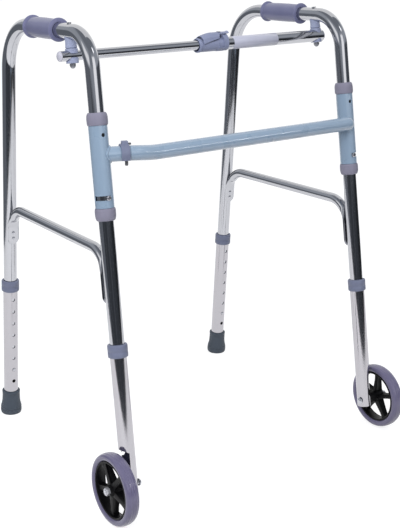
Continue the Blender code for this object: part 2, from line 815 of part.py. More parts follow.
def make_clip():
    inner = crossbar_radius + gap
    outer = inner + clip_thickness
    steps = 10
    outline = [(clip_leg_drop, outer), (clip_leg_drop, inner)]
    outline = []
    for reach in (outer, inner):
        arc = [(-clip_leg_drop, reach)]
        for step in range(steps + 1):
            angle = math.pi / 2 - math.pi * step / steps
            arc.append((reach * math.cos(angle), reach * math.sin(angle)))
        arc.append((-clip_leg_drop, -reach))
        outline += arc if reach == outer else arc[::-1]
    facing = Matrix.Rotation(math.pi / 2, 4, "Z")
    clip = add_piece("crossbar_clip", prism(outline, -clip_width, -gap, joint_axes @ facing), lilac, root)
    lug_low = outer - clip_thickness / 2
    middle = -clip_pin_from_edge - gap
    lug = block((-clip_lug_width / 2, lug_low, middle - clip_lug_length / 2),
                (clip_lug_width / 2, outer + clip_lug_height, middle + clip_lug_length / 2 - gap), matrix=joint_axes)
    fuse(clip, lug, "lug")
    cut(clip, rod(clip_pin_diameter / 2 + gap / 2, 0.0, outer + 2 * clip_lug_height, small_sides, clip_pin_axes),
        "pin_bore")
    head = clip_pin_diameter * 0.8
    top = outer + clip_lug_height + gap
    shank = clip_pin_diameter / 2
    profile = [(shank * 0.6, -clip_pin_drop), (shank, -clip_pin_drop + shank), (shank, top), (head, top),
               (head, top + shank * 0.5), (head * 0.6, top + shank * 0.8)]
    add_piece("crossbar_clip_pin", turned(profile, small_sides, clip_pin_axes), steel, root)


# Upper bar: two tubes that slide in one another, each hung on a bolt under its handle.
outer_bar_radius = outer_bar_diameter / 2
inner_bar_radius = outer_bar_radius - outer_bar_wall - bar_play
bolt_places = {name: world_of[frames[name].name] @ bolt_axes(name) for name in sides}
bolt_span = bolt_places["left"] - bolt_places["right"]
# At rest the inner tube lies towards the front of the outer one, and a little higher, because the bar
# turns and rises as the frames close.
rest_turn = Matrix.Rotation(-math.asin(bar_start_aside / bolt_span.length), 3, "Z")
bar_run = (rest_turn @ Vector((bolt_span.x, bolt_span.y, 0.0))).normalized()
bars = {}
for name in sides:
    upright = Vector((0.0, 0.0, 1.0)) - bar_run.z * bar_run
    upright.normalize()
    bar_axes = Matrix((bar_run, upright.cross(bar_run), upright)).transposed().to_4x4()
    bar_axes.translation = bolt_places[name]
    bars[name] = stand(name + "_bar_line", bar_axes, frames[name])
along_bar = along((0.0, 0.0, 0.0), (1.0, 0.0, 0.0), (0.0, 1.0, 0.0))
bar_radii = {"right": inner_bar_radius, "left": outer_bar_radius}
bar_walls = {"right": inner_bar_wall, "left": outer_bar_wall}


def bolt_in_bar(name):
    """The bolt's line in its half of the upper bar: origin at the bar's centre, Z up along the bolt."""
    upward = world_of[frames[name].name].to_3x3() @ hinge_up
    local = world_of[bars[name].name].to_3x3().inverted() @ upward
    return along((0.0, 0.0, 0.0), local)


def bar_bolt_bore(name, bottom, top):
    return rod(bolt_diameter / 2 + gap, bottom, top, small_sides, bolt_in_bar(name))


def make_upper_bar():
    spans = {"right": (-inner_bar_overhang, inner_bar_reach), "left": (-outer_bar_reach, outer_bar_overhang)}
    names = {"right": "upper_bar_inner_tube", "left": "upper_bar_outer_tube"}
    pin_places = {"right": (bolt_span.length - lock_pin_place, bar_start_aside), "left": (-lock_pin_place, 0.0)}
    for name, (start, end) in spans.items():
        radius = bar_radii[name]
        bore = radius - bar_walls[name]
        tube = add_piece(names[name], pipe(radius, bore, start, end, matrix=along_bar), chrome, bars[name])
        cut(tube, bar_bolt_bore(name, -2 * radius, 2 * radius), "bolt_hole")
        pin_hole = rod(lock_pin_diameter / 2 + gap, 0.0, 2 * radius, small_sides,
                       Matrix.Translation((*pin_places[name], 0.0)))
        cut(tube, pin_hole, "lock_pin_hole")
        outward = -1 if name == "right" else 1
        mouth = start if name == "right" else end
        plug = [(bore - gap, -bar_plug_depth), (bore - gap, gap), (radius, gap), (radius, bar_plug_thickness * 0.4),
                (radius * 0.85, bar_plug_thickness * 0.8), (radius * 0.5, bar_plug_thickness)]
        plug_axes = along((mouth, 0.0, 0.0), (outward, 0.0, 0.0), (0.0, 1.0, 0.0))
        plug_shape = turned(plug, matrix=plug_axes)
        add_piece(name + "_bar_plug", plug_shape, steel, bars[name])


# Bracket: a post under the handle, two saddles that hold the bar, and one long bolt with an acorn nut.
def make_bracket(name):
    frame = frames[name]
    bar = bars[name]
    bolt = bolt_axes(name)
    on_bolt = Matrix.Translation((0.0, bolt.y, bolt.z))
    over = handle_over_bolt(name) - bolt.z
    handle_space = along(Vector((0.0, bolt.y, bolt.z + over)), handle_back)
    crown = bar_radii[name] + saddle_crown
    bore = bolt_diameter / 2 + gap
    post_radius = post_diameter / 2
    flank = math.sqrt((leg_radius + gap) ** 2 - post_radius ** 2)
    shape = pipe(post_radius, bore, crown + gap, over - flank + gap, small_sides * 2, on_bolt)
    post = add_piece(name + "_bracket_post", shape, pale, frame)
    cut(post, rod(leg_radius + gap, -post_diameter, post_diameter, 32, handle_space), "handle_seat")
    saddle_radius = saddle_diameter / 2
    bolt_line = bolt_in_bar(name)
    bar_space = bar_radii[name] + gap
    widest = math.sqrt(max(bar_space ** 2 - saddle_radius ** 2, (bar_radii[name] * 0.3) ** 2)) + gap
    for place, low, high in (("upper", widest, crown), ("lower", -saddle_drop, -widest)):
        shape = pipe(saddle_radius, bore, low, high, small_sides * 2, bolt_line)
        saddle = add_piece(name + "_" + place + "_saddle", shape, pale, bar)
        cut(saddle, rod(bar_space, -saddle_diameter, saddle_diameter, 32, along_bar), "bar_seat")
    nut_bottom = -saddle_drop - gap - acorn_nut_height
    shank = bolt_diameter / 2
    head = bolt_head_diameter / 2
    tilt = math.pi / 2 - handle_back.angle(hinge_up)
    head_seat = over + leg_radius / math.cos(tilt) + head * abs(math.tan(tilt)) + gap
    profile = [(shank, nut_bottom), (shank, head_seat), (head, head_seat), (head, head_seat + bolt_head_height * 0.3),
               (head * 0.75, head_seat + bolt_head_height * 0.8), (head * 0.35, head_seat + bolt_head_height)]
    add_piece(name + "_bracket_bolt", turned(profile, small_sides, on_bolt), steel, frame)
    corner = acorn_nut_flats / math.sqrt(3)
    top = -saddle_drop - gap
    dome = acorn_nut_flats * 0.45
    profile = [(0.0, nut_bottom - gap), (shank + gap, nut_bottom - gap), (shank + gap, top), (corner, top),
               (corner, nut_bottom), (dome, nut_bottom), (dome * 0.85, nut_bottom - acorn_dome_height * 0.5),
               (dome * 0.5, nut_bottom - acorn_dome_height * 0.87), (0.0, nut_bottom - acorn_dome_height)]
    nut = turned(profile, nut_sides, on_bolt, flats=acorn_nut_flats)
    add_piece(name + "_acorn_nut", nut, steel, frame)


# Lock: a moulded sleeve on the outer tube's mouth. Its lever lifts the pin that stands over the inner tube.
def lock_place(from_bolt):
    return -from_bolt


def crown_height(from_bolt):
    """The lock's top line: it rises in a quarter wave from the shoulder to the crown."""
    share = min((lock_left_end - from_bolt) / lock_rise_length, 1.0)
    return lock_shoulder + (lock_crown - lock_shoulder) * math.sin(share * math.pi / 2)


def make_lock_housing():
    bar = bars["left"]
    outer = lock_sleeve_diameter / 2
    bore = outer_bar_radius + gap
    left_bore = lock_left_bore / 2
    mouth = lock_place(outer_bar_reach) - gap
    rim = 0.0012
    profile = [(left_bore, lock_place(lock_left_end)), (outer - rim / 2, lock_place(lock_left_end)),
               (outer, lock_place(lock_left_end) + rim), (outer, lock_place(lock_body_end)),
               (bore, lock_place(lock_body_end)), (bore, mouth), (left_bore, mouth)]
    housing = add_piece("lock_housing", turned(profile, 24, along_bar, hollow=True), lilac, bar)
    sections = []
    roof_top = lock_roof_height + lock_roof_thickness
    for place in (lock_ring_start, lock_ring_end):
        section = []
        for corner in range(24):
            angle = 2 * math.pi * corner / 24
            lift = roof_top if math.sin(angle) > 0 else outer
            section.append(Vector((lock_place(place), outer * math.cos(angle), lift * math.sin(angle))))
        sections.append(section)
    ring = loft(sections)
    fuse(housing, ring, "ring")
    spine = block((lock_place(lock_body_end) - 2 * rim, -lock_ear_width, lock_roof_height),
                  (lock_place(lock_ring_start) + 2 * rim, lock_ear_width, roof_top))
    block((lock_place(lock_body_end) - 3 * rim, -lock_ear_width, outer - rim),
          (lock_place(lock_body_end) - gap, lock_ear_width, roof_top - gap), spine)
    fuse(housing, spine, "roof")
    rails = bmesh.new()
    for turn in (-0.25, 0.25):
        rail_axes = Matrix.Rotation(math.pi * turn, 4, "X")
        block((lock_place(lock_body_end) - 2 * rim, -outer * 0.35, -outer + gap),
              (lock_place(lock_ring_start) + 2 * rim, outer * 0.35, -bore + gap), rails, rail_axes)
    fuse(housing, rails, "rails")
    ear = block((lock_place(lever_pivot_place) - lever_pin_diameter, -lock_ear_width / 2, outer - rim),
                (lock_place(lever_pivot_place) + lever_pin_diameter, lock_ear_width / 2,
                 lever_pivot_height + lever_pin_diameter * 0.95))
    fuse(housing, ear, "ear")
    pin_line = along((lock_place(lever_pivot_place), 0.0, lever_pivot_height), (0.0, 1.0, 0.0))
    cut(housing, rod(lever_pin_diameter / 2 + gap / 2, -outer, outer, small_sides, pin_line), "pivot_bore")
    cut(housing, rod(bore, mouth, lock_place(lock_ring_end) + outer, 24, along_bar), "tube_bore")
    pin_bore = rod(lock_pin_diameter / 2 + gap, 0.0, lock_crown, small_sides,
                   Matrix.Translation((lock_place(lock_pin_place), 0.0, 0.0)))
    cut(housing, pin_bore, "pin_bore")


def make_lever():
    bar = bars["left"]
    lever_axes = world_of[bar.name] @ Matrix.Translation((lock_place(lever_pivot_place), 0.0, lever_pivot_height))
    pivot = stand("lever_pivot", lever_axes, bar)
    outer = lock_sleeve_diameter / 2
    half_arc = 6
    stations = 10
    sections = []
    for station in range(stations + 1):
        from_bolt = lever_start + (lock_lip_end - lever_start) * station / stations
        over_window = max(0.0, min(1.0, (lock_body_end - from_bolt + 0.001) / 0.004))
        share = min((lever_start - from_bolt) / (lever_start - lock_body_end), 1.0)
        reach = math.radians(78 - 22 * share) * (1 - over_window) + math.radians(27) * over_window
        top = crown_height(from_bolt)
        wide = outer + gap + lever_thickness
        section = []
        for inset in (0.0, lever_thickness):
            arc = []
            for step in range(-half_arc, half_arc + 1):
                angle = reach * step / half_arc
                arc.append(Vector((lever_start - from_bolt - (lever_start - lever_pivot_place),
                                   (wide - inset) * math.sin(angle),
                                   (top - inset) * math.cos(angle) - lever_pivot_height)))
            section += arc if inset == 0.0 else arc[::-1]
        sections.append(section)
    lever = add_piece("lock_lever", loft(sections), lilac, pivot)
    pin_line = along((0.0, 0.0, 0.0), (0.0, 1.0, 0.0))
    cut(lever, rod(lever_pin_diameter / 2 + gap / 2, -2 * outer, 2 * outer, small_sides, pin_line), "pivot_bore")
    pin_bore = rod(lock_pin_diameter / 2 + lever_hole_play, 0.0, lock_crown, small_sides,
                   Matrix.Translation((lever_pivot_place - lock_pin_place, 0.0, 0.0)))
    cut(lever, pin_bore, "pin_bore")
    half = lever_pin_length / 2
    shape = rod(lever_pin_diameter / 2, -half, half, small_sides,
                along((lock_place(lever_pivot_place), 0.0, lever_pivot_height), (0.0, 1.0, 0.0)))
    add_piece("lever_pivot_pin", shape, steel, bar)


def make_lock_pin():
    bar = bars["left"]
    pin_axes = world_of[bar.name] @ Matrix.Translation((lock_place(lock_pin_place), 0.0, 0.0))
    line = stand("lock_pin_line", pin_axes, bar)
    shank = lock_pin_diameter / 2
    tip = inner_bar_radius + bar_height_step + gap
    collar_low = outer_bar_radius + gap
    collar_high = collar_low + lock_pin_collar_thickness
    lever_top = crown_height(lock_pin_place) + gap
    collar = lock_pin_collar_diameter / 2
    head = lock_pin_head_diameter / 2
    profile = [(shank * 0.8, tip), (shank, tip + shank * 0.2), (shank, collar_low), (collar, collar_low),
               (collar, collar_high), (shank, collar_high), (shank, lever_top), (head, lever_top),
               (head, lever_top + lock_pin_head_thickness * 0.5), (head * 0.7, lever_top + lock_pin_head_thickness)]
    add_piece("lock_pin", turned(profile, small_sides), steel, line)
    wire = lock_spring_wire / 2
    low = collar_high + gap + wire
    high = lock_roof_height - gap - wire
    coil = shank + gap + 2 * wire
    per_turn = 12
    steps = lock_spring_turns * per_turn
    points = []
    for step in range(steps + 1):
        angle = 2 * math.pi * step / per_turn
        points.append(Vector((coil * math.cos(angle), coil * math.sin(angle), low + (high - low) * step / steps)))
    sections = []
    for index, point in enumerate(points):
        ahead = (points[min(index + 1, steps)] - points[max(index - 1, 0)]).normalized()
        outward = Vector((point.x, point.y, 0.0)).normalized()
        outward = (outward - outward.dot(ahead) * ahead).normalized()
        other = ahead.cross(outward)
        section = []
        for corner in range(6):
            angle = math.pi * corner / 3
            section.append(point + outward * wire * math.cos(angle) + other * wire * math.sin(angle))
        sections.append(section)
    add_piece("lock_spring", loft(sections), steel, line)
    apart = min((points[i] - points[j]).length for i in range(steps) for j in range(i + per_turn // 2, steps))
    print("lock spring: least gap between turns", round((apart - 2 * wire) * 1000, 2), "mm")


# Front legs end in half a tube, with a plug inside it, so that the wheel runs close beside the leg.
def make_front_end(name, tube):
    sign = sides[name]
    leg = front_legs[name]
    top = up_leg(leg, cutaway_top)
    low = up_leg(leg, front_extension_bottom)
    reach = extension_radius * 1.3
    outline = [(sign * cutaway_plane, low - reach), (sign * cutaway_plane, top - cutaway_slant),
               (sign * reach, top), (sign * reach, low - reach)]
    sideways = Matrix.Rotation(math.pi / 2, 4, "X")
    cut(tube, prism(outline, -reach, reach, sideways), "cutaway")
    axle = axle_axes(name)
    cut(tube, rod(axle_diameter / 2 + gap, -reach, reach, small_sides, axle), "axle_hole")
    plug_radius = extension_radius - extension_wall - gap
    plug = rod(plug_radius, low + gap, up_leg(leg, fork_plug_top))
    piece = add_piece(name + "_fork_plug", plug, lilac, leg)
    outline = [(sign * cutaway_plane, low - reach), (sign * cutaway_plane, top), (sign * reach, top),
               (sign * reach, low - reach)]
    cut(piece, prism(outline, -reach, reach, sideways), "flat")
    cut(piece, rod(axle_diameter / 2 + gap, -reach, reach, small_sides, axle), "axle_hole")


def axle_axes(name):
    """The axle in the front leg's axes: Z runs outboard, square to the leg and to the walking direction."""
    leg = front_legs[name]
    upward = world_of[leg.name].to_3x3().col[2]
    lowest = wheel_radius * math.hypot(upward.y, upward.z)
    ahead = Vector((0.0, -wheel_ahead, 0.0))
    height = (lowest - (world_of[leg.name] @ ahead).z) / upward.z
    return along((0.0, -wheel_ahead, height), (sides[name], 0.0, 0.0), (0.0, 1.0, 0.0))


def make_wheel(name):
    leg = front_legs[name]
    axle = stand(name + "_axle", world_of[leg.name] @ axle_axes(name), leg)
    inner_face = wheel_clear
    outer_face = wheel_clear + wheel_width
    middle = (inner_face + outer_face) / 2
    seat = wheel_radius - tyre_depth
    half = wheel_width / 2
    profile = [(seat + gap, middle - half * 0.72), (seat + gap, middle + half * 0.72)]
    arc_steps = 8
    for step in range(arc_steps + 1):
        angle = math.radians(-20 + 220 * step / arc_steps)
        radius = seat + tyre_depth * 0.45 + tyre_depth * 0.55 * math.copysign(abs(math.sin(angle)) ** 0.8,
                                                                           math.sin(angle))
        profile.append((radius, middle + half * math.copysign(abs(math.cos(angle)) ** 0.8, math.cos(angle))))
    add_piece(name + "_tyre", turned(profile, wheel_sides, hollow=True), tyre_rubber, axle)
    rim_inner = seat - rim_thickness
    rim_half = half * 0.80
    profile = [(seat, middle - rim_half), (seat, middle + rim_half), (rim_inner + 0.001, middle + rim_half),
               (rim_inner, middle), (rim_inner + 0.001, middle - rim_half)]
    core = add_piece(name + "_wheel_core", turned(profile, wheel_sides, hollow=True), black, axle)
    hub = hub_diameter / 2
    boss = cutaway_plane + gap
    shape = bmesh.new()
    for spoke in range(spoke_count):
        turn = Matrix.Rotation(2 * math.pi * (spoke + 0.25) / spoke_count, 4, "Z")
        sections = []
        reach_in = hub * 0.7
        reach_out = rim_inner + rim_thickness * 0.5
        for reach, wide, deep in ((reach_in, spoke_width * 0.62, spoke_depth * 0.62),
                                  (reach_out, spoke_width * 0.42, spoke_depth * 0.42)):
            corners = ((-wide, -deep), (wide, -deep), (wide * 0.7, deep), (-wide * 0.7, deep))
            sections.append([turn @ Vector((reach, x, middle + z)) for x, z in corners])
        loft(sections, shape)
    fuse(core, shape, "spokes")
    profile = [(hub * 0.8, boss), (hub, middle - rim_half * 0.8), (hub, middle + rim_half * 0.6),
               (hub * 0.78, hub_outboard)]
    fuse(core, turned(profile, 20), "hub")
    cut(core, rod(hub_bore_diameter / 2, boss - hub, hub_outboard + hub, 20), "bore")
    head_seat = -extension_radius - gap
    head = axle_head_diameter / 2
    shank = axle_diameter / 2
    end = hub_outboard + gap + axle_nut_height + 0.001
    profile = [(head * 0.45, head_seat - axle_head_height), (head * 0.85, head_seat - axle_head_height * 0.7),
               (head, head_seat - axle_head_height * 0.2), (head, head_seat), (shank, head_seat), (shank, end)]
    add_piece(name + "_axle_bolt", turned(profile, small_sides), steel, axle)
    corner = axle_nut_flats / math.sqrt(3)
    low = hub_outboard + gap
    profile = [(shank + gap, low), (corner, low), (corner, low + axle_nut_height * 0.75),
               (axle_nut_flats * 0.46, low + axle_nut_height), (shank + gap, low + axle_nut_height)]
    nut = turned(profile, nut_sides, hollow=True, flats=axle_nut_flats)
    add_piece(name + "_axle_nut", nut, steel, axle)


make_crossbar()
make_right_sleeve()
make_clip()
for side_name in sides:
    make_bushes(side_name)
    make_side_frame(side_name)
    make_side_brace(side_name)
    make_grip(side_name)
    make_stop_screw(side_name)
    front_tube = make_extension(side_name, "front", front_extension_bottom, front_collar_top, front_hole_count)
    make_front_end(side_name, front_tube)
    make_extension(side_name, "rear", rear_extension_bottom, rear_collar_top, rear_hole_count)
    make_button(side_name, "front")
    make_button(side_name, "rear")
    make_foot(side_name)
    make_wheel(side_name)
    make_bracket(side_name)
make_upper_bar()
make_lock_housing()
make_lever()
make_lock_pin()
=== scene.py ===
import json
import math

import bmesh
import bpy
from mathutils import Matrix, Vector


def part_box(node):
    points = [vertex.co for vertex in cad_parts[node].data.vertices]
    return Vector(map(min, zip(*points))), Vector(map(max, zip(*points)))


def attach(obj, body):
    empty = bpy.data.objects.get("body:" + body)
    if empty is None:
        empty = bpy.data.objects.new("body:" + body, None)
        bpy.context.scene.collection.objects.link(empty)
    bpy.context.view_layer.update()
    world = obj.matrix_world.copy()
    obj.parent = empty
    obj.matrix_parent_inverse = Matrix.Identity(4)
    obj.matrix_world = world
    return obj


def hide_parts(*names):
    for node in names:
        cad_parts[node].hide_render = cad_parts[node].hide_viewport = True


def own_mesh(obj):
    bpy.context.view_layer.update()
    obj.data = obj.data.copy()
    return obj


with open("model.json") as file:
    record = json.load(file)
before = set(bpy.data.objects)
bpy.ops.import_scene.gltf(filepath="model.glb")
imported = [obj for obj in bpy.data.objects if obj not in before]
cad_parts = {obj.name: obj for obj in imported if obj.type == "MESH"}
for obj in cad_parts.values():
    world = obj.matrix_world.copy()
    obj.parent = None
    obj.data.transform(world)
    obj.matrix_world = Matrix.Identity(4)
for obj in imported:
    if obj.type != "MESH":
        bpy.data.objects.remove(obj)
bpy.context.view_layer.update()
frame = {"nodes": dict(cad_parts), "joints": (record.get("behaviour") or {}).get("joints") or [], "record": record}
joints = {joint["name"]: joint for joint in frame["joints"]}
mounts = {mount["name"]: mount for mount in frame["record"]["mounts"]}


# Crossbar. The low bar is steel tube, bent a little beside its joint, closed with a dome at its left end
# and welded across the left hinge sleeve. The right hinge sleeve carries a stub that the bar plugs into.
# All of it is finished in blue powder enamel. Inside each sleeve, a near-black tube is painted shade for its hole.
sides = {"right": -1, "left": 1}
tube_sides = 48
drill_sides = 24
broken_edge = 0.0003
clearance = 0.0003
leg_diameter = 0.0254
sleeve_diameter = 0.03175
sleeve_bottom = 0.530
sleeve_top = 0.662
sleeve_play = 0.0016
sleeve_bore_spare = 0.02
sleeve_hole_height = 0.647
sleeve_hole_diameter = 0.0066
shade_liner_reach = (0.575, 0.656)
shade_liner_play = 0.0004
shade_liner_wall = 0.0008
stop_slot_height = 0.5466
stop_slot_width = 0.0075
stop_slot_turn = math.radians(88)
stop_slot_spare_turn = math.radians(16)
stop_slot_steps = 24
stop_slot_cut = (1.07, 1.6)
crossbar_diameter = 0.0254
crossbar_height = 0.611
crossbar_ahead = {"right": 0.0107, "left": 0.024}
crossbar_joint = 0.238
crossbar_left_overhang = 0.007
stub_rise = 0.0046
joint_shift = Vector((0.0, -0.006, 0.0052))
bend_length = 0.060
bend_pull = 0.4
bend_steps = 24
bend_shift = Vector((0.0, -0.009, 0.0014))
bar_dome_steps = 10
weld_bead_radius = {"right": 0.0024, "left": 0.0016}
weld_bead_steps = 60
weld_bead_sides = 8
weld_bead_limit = 0.985
coat_roughness = 0.08
grain_depth = 0.0002
leg_radius = leg_diameter / 2
bar_radius = crossbar_diameter / 2
sleeve_radius = sleeve_diameter / 2
sleeve_bore = leg_radius + sleeve_play


def srgb(red, green, blue):
    """A colour as a paint chart gives it, in 0 to 255, made linear."""
    return tuple(((value / 255 + 0.055) / 1.055) ** 2.4 for value in (red, green, blue)) + (1.0,)


def set_sockets(node, values):
    """Sets a node's own socket values by name."""
    for label, value in values.items():
        node.inputs[label].default_value = value


def add_node(tree, kind, sockets=None, **settings):
    """Puts a node in a tree, with its settings and then the values of its own sockets."""
    made = tree.nodes.new(kind)
    for name, value in settings.items():
        setattr(made, name, value)
    set_sockets(made, sockets or {})
    return made


def wire(tree, *links):
    """Links nodes. Each link gives a node, its output, the next node and that node's input."""
    for source, output, target, entry in links:
        tree.links.new(source.outputs[output], target.inputs[entry])


def open_group(name, inputs, outputs):
    """A shader node group with its named inputs and outputs, ready to be filled."""
    group = bpy.data.node_groups.new(name, "ShaderNodeTree")
    for label, value in inputs.items():
        kind = "NodeSocketColor" if isinstance(value, tuple) else "NodeSocketFloat"
        group.interface.new_socket(label, in_out="INPUT", socket_type=kind).default_value = value
    for label, kind in outputs.items():
        group.interface.new_socket(label, in_out="OUTPUT", socket_type="NodeSocket" + kind)
    return group, add_node(group, "NodeGroupInput"), add_node(group, "NodeGroupOutput")


def make_mottle_group():
    """Slow drifts of tone and gloss over a surface, with a fine grain in its height."""
    group, given, wanted = open_group(
        "surface_mottle",
        {"Colour": (1.0, 1.0, 1.0, 1.0), "Dark Colour": (0.5, 0.5, 0.5, 1.0), "Patch Scale": 40.0,
         "Grain Scale": 900.0, "Roughness": 0.4, "Roughness Drift": 0.1},
        {"Colour": "Color", "Roughness": "Float", "Height": "Float"})
    place = add_node(group, "ShaderNodeTexCoord")
    patches = add_node(group, "ShaderNodeTexNoise", {"Detail": 3.0})
    grain = add_node(group, "ShaderNodeTexNoise", {"Detail": 2.0})
    tone = add_node(group, "ShaderNodeMix", data_type="RGBA")
    drift = add_node(group, "ShaderNodeMath", operation="MULTIPLY_ADD")
    wire(group,
         (place, "Object", patches, "Vector"),
         (place, "Object", grain, "Vector"),
         (given, "Patch Scale", patches, "Scale"),
         (given, "Grain Scale", grain, "Scale"),
         (patches, "Fac", tone, "Factor"),
         (given, "Dark Colour", tone, "A"),
         (given, "Colour", tone, "B"),
         (tone, "Result", wanted, "Colour"),
         (patches, "Fac", drift, 0),
         (given, "Roughness Drift", drift, 1),
         (given, "Roughness", drift, 2),
         (drift, "Value", wanted, "Roughness"),
         (grain, "Fac", wanted, "Height"))
    return group


mottle_group = make_mottle_group()


def open_material(name):
    """A new material with its node tree and its Principled shader."""
    material = bpy.data.materials.new(name)
    material.use_nodes = True
    return material, material.node_tree, material.node_tree.nodes["Principled BSDF"]


def add_mottle(tree, colour, dark, patch, grain, roughness, drift):
    """Places the mottle group in a material, with that material's own values."""
    return add_node(tree, "ShaderNodeGroup",
                    {"Colour": colour, "Dark Colour": dark, "Patch Scale": patch, "Grain Scale": grain,
                     "Roughness": roughness, "Roughness Drift": drift}, node_tree=mottle_group)


def mottled_finish(name, colour, dark, patch, grain, roughness, drift, bump, metallic=0.0, coat=0.0,
                   shine=0.5):
    """Enamel, moulded nylon, rubber or plating: its tone drifts from colour to dark over a fine grain."""
    material, tree, shader = open_material(name)
    set_sockets(shader, {"Metallic": metallic, "Coat Weight": coat, "Coat Roughness": coat_roughness,
                         "Specular IOR Level": shine})
    mottle = add_mottle(tree, srgb(*colour), srgb(*dark), patch, grain, roughness, drift)
    relief = add_node(tree, "ShaderNodeBump", {"Strength": bump, "Distance": grain_depth})
    wire(tree,
         (mottle, "Colour", shader, "Base Color"),
         (mottle, "Roughness", shader, "Roughness"),
         (mottle, "Height", relief, "Height"),
         (relief, "Normal", shader, "Normal"))
    return material


def shade(piece, sharp_from=35):
    """Smooth faces, with a sharp edge wherever two of them meet at more than some degrees."""
    piece.data.shade_smooth()
    piece.data.set_sharp_from_angle(angle=math.radians(sharp_from))


def as_piece(name, shape, sharp_from=35):
    """Makes a bmesh shape an object of its own, closed and facing outwards."""
    bmesh.ops.remove_doubles(shape, verts=shape.verts, dist=1e-7)
    bmesh.ops.recalc_face_normals(shape, faces=shape.faces)
    mesh = bpy.data.meshes.new(name)
    shape.to_mesh(mesh)
    shape.free()
    piece = bpy.data.objects.new(name, mesh)
    bpy.context.scene.collection.objects.link(piece)
    shade(piece, sharp_from)
    return piece


def once_round(count):
    """Equal turns once round, in radians."""
    return [2 * math.pi * index / count for index in range(count)]


def polar(axes, radius, turn, height=0.0):
    """A place given by radius, turn and height about the Z of axes."""
    return axes @ Vector((radius * math.cos(turn), radius * math.sin(turn), height))


def stitch(shape, first, second):
    """Faces between two closed rows of points."""
    for index in range(len(first)):
        following = (index + 1) % len(first)
        shape.faces.new((first[index], first[following], second[following], second[index]))


def loft(sections, closed=False):
    """A shape through sections of equally many points. It has flat ends, or closes on itself."""
    shape = bmesh.new()
    rows = [[shape.verts.new(point) for point in section] for section in sections]
    if closed:
        rows.append(rows[0])
    for first, second in zip(rows, rows[1:]):
        stitch(shape, first, second)
    if not closed:
        shape.faces.new(rows[0])
        shape.faces.new(rows[-1])
    return shape


def lathe(profile, axes, ring=False, around=tube_sides):
    """Turns a profile of (radius, height) points about the Z of axes. A ring's profile is a closed loop."""
    shape = bmesh.new()
    rows = []
    for radius, height in profile:
        turns = once_round(around) if radius > 0 else [0.0]
        rows.append([shape.verts.new(polar(axes, radius, turn, height)) for turn in turns])
    pairs = list(zip(rows, rows[1:]))
    if ring:
        pairs.append((rows[-1], rows[0]))
    for first, second in pairs:
        if len(first) > 1 and len(second) > 1:
            stitch(shape, first, second)
            continue
        tip, row = (first[0], second) if len(first) == 1 else (second[0], first)
        for index in range(len(row)):
            shape.faces.new((row[index], row[(index + 1) % len(row)], tip))
    if not ring:
        for row in (rows[0], rows[-1]):
            if len(row) > 1:
                shape.faces.new(row)
    return shape


def domed(radius, base, rise, turns):
    """Profile points over a domed end, from its widest round towards its tip."""
    return [(radius * math.cos(turn), base + rise * math.sin(turn)) for turn in turns]


def along(origin, direction, across=Vector((1.0, 0.0, 0.0))):
    """Axes at a point, with Z along a direction and X as near to across as it can be."""
    upward = Vector(direction).normalized()
    side = Vector(across) - Vector(across).dot(upward) * upward
    side.normalize()
    matrix = Matrix((side, upward.cross(side), upward)).transposed().to_4x4()
    matrix.translation = Vector(origin)
    return matrix


def draw_tube(points, radii):
    """A round bar drawn along points, with its own radius at each and flat ends."""
    sections = []
    for index, (point, radius) in enumerate(zip(points, radii)):
        ahead = points[min(index + 1, len(points) - 1)] - points[max(index - 1, 0)]
        axes = along(point, ahead, (0.0, 0.0, 1.0))
        sections.append([polar(axes, radius, turn) for turn in once_round(tube_sides)])
    return loft(sections)


def keep_result(piece):
    """Makes what a piece's modifiers build its own plain mesh."""
    graph = bpy.context.evaluated_depsgraph_get()
    mesh = bpy.data.meshes.new_from_object(piece.evaluated_get(graph))
    piece.modifiers.clear()
    piece.data = mesh


def combine(piece, tool, operation):
    """Takes a tool piece out of a piece, or joins it on, and keeps only the result."""
    modifier = piece.modifiers.new(operation.lower(), "BOOLEAN")
    modifier.operation = operation
    modifier.solver = "EXACT"
    modifier.object = tool
    keep_result(piece)
    bpy.data.objects.remove(tool)
    shade(piece)


def cut(piece, shape):
    """Takes a bmesh shape out of a piece."""
    combine(piece, as_piece("cutter", shape), "DIFFERENCE")


def join(piece, shape):
    """Joins a bmesh shape on to a piece."""
    combine(piece, as_piece("addition", shape), "UNION")


def drill(piece, axes, radius, low, high, around=drill_sides):
    """Cuts a round hole along the Z of axes, from one height to another."""
    cut(piece, lathe([(radius, low), (radius, high)], axes, around=around))


def paint(piece, material):
    """Makes a material the only one of a piece."""
    piece.data.materials.clear()
    piece.data.materials.append(material)


def dress(piece, material, body, slot, *nodes):
    """Gives a piece its finish, hangs it on its body and lets it stand for its CAD nodes."""
    paint(piece, material)
    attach(piece, body)
    if nodes:
        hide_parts(*nodes)


# The front legs' axes are the hinge axes of the side frames, and each frame lies in its own plane.
hinge_axes = {}
front_legs = {}
for name, sign in sides.items():
    fold = joints[name + "_frame_fold"]
    upward = Vector(fold["axis"]) * sign
    pivot = Vector(fold["pos_m"])
    behind = Vector(joints[name + "_bar_pivot"]["pos_m"]) - pivot
    behind = (behind - behind.dot(upward) * upward).normalized()
    axes = Matrix((behind.cross(upward), behind, upward)).transposed().to_4x4()
    axes.translation = pivot
    hinge_axes[name] = axes
    front_legs[name] = along(pivot - upward * pivot.z / upward.z, upward)


def up_leg(axes, height):
    """How far along a leg it passes a height above the floor."""
    return height / axes.to_3x3().col[2].z


def bar_point(name):
    """Where the crossbar's line passes in front of a leg."""
    leg = front_legs[name]
    return leg @ Vector((0.0, 0.0, up_leg(leg, crossbar_height))) - Vector((0.0, crossbar_ahead[name], 0.0))


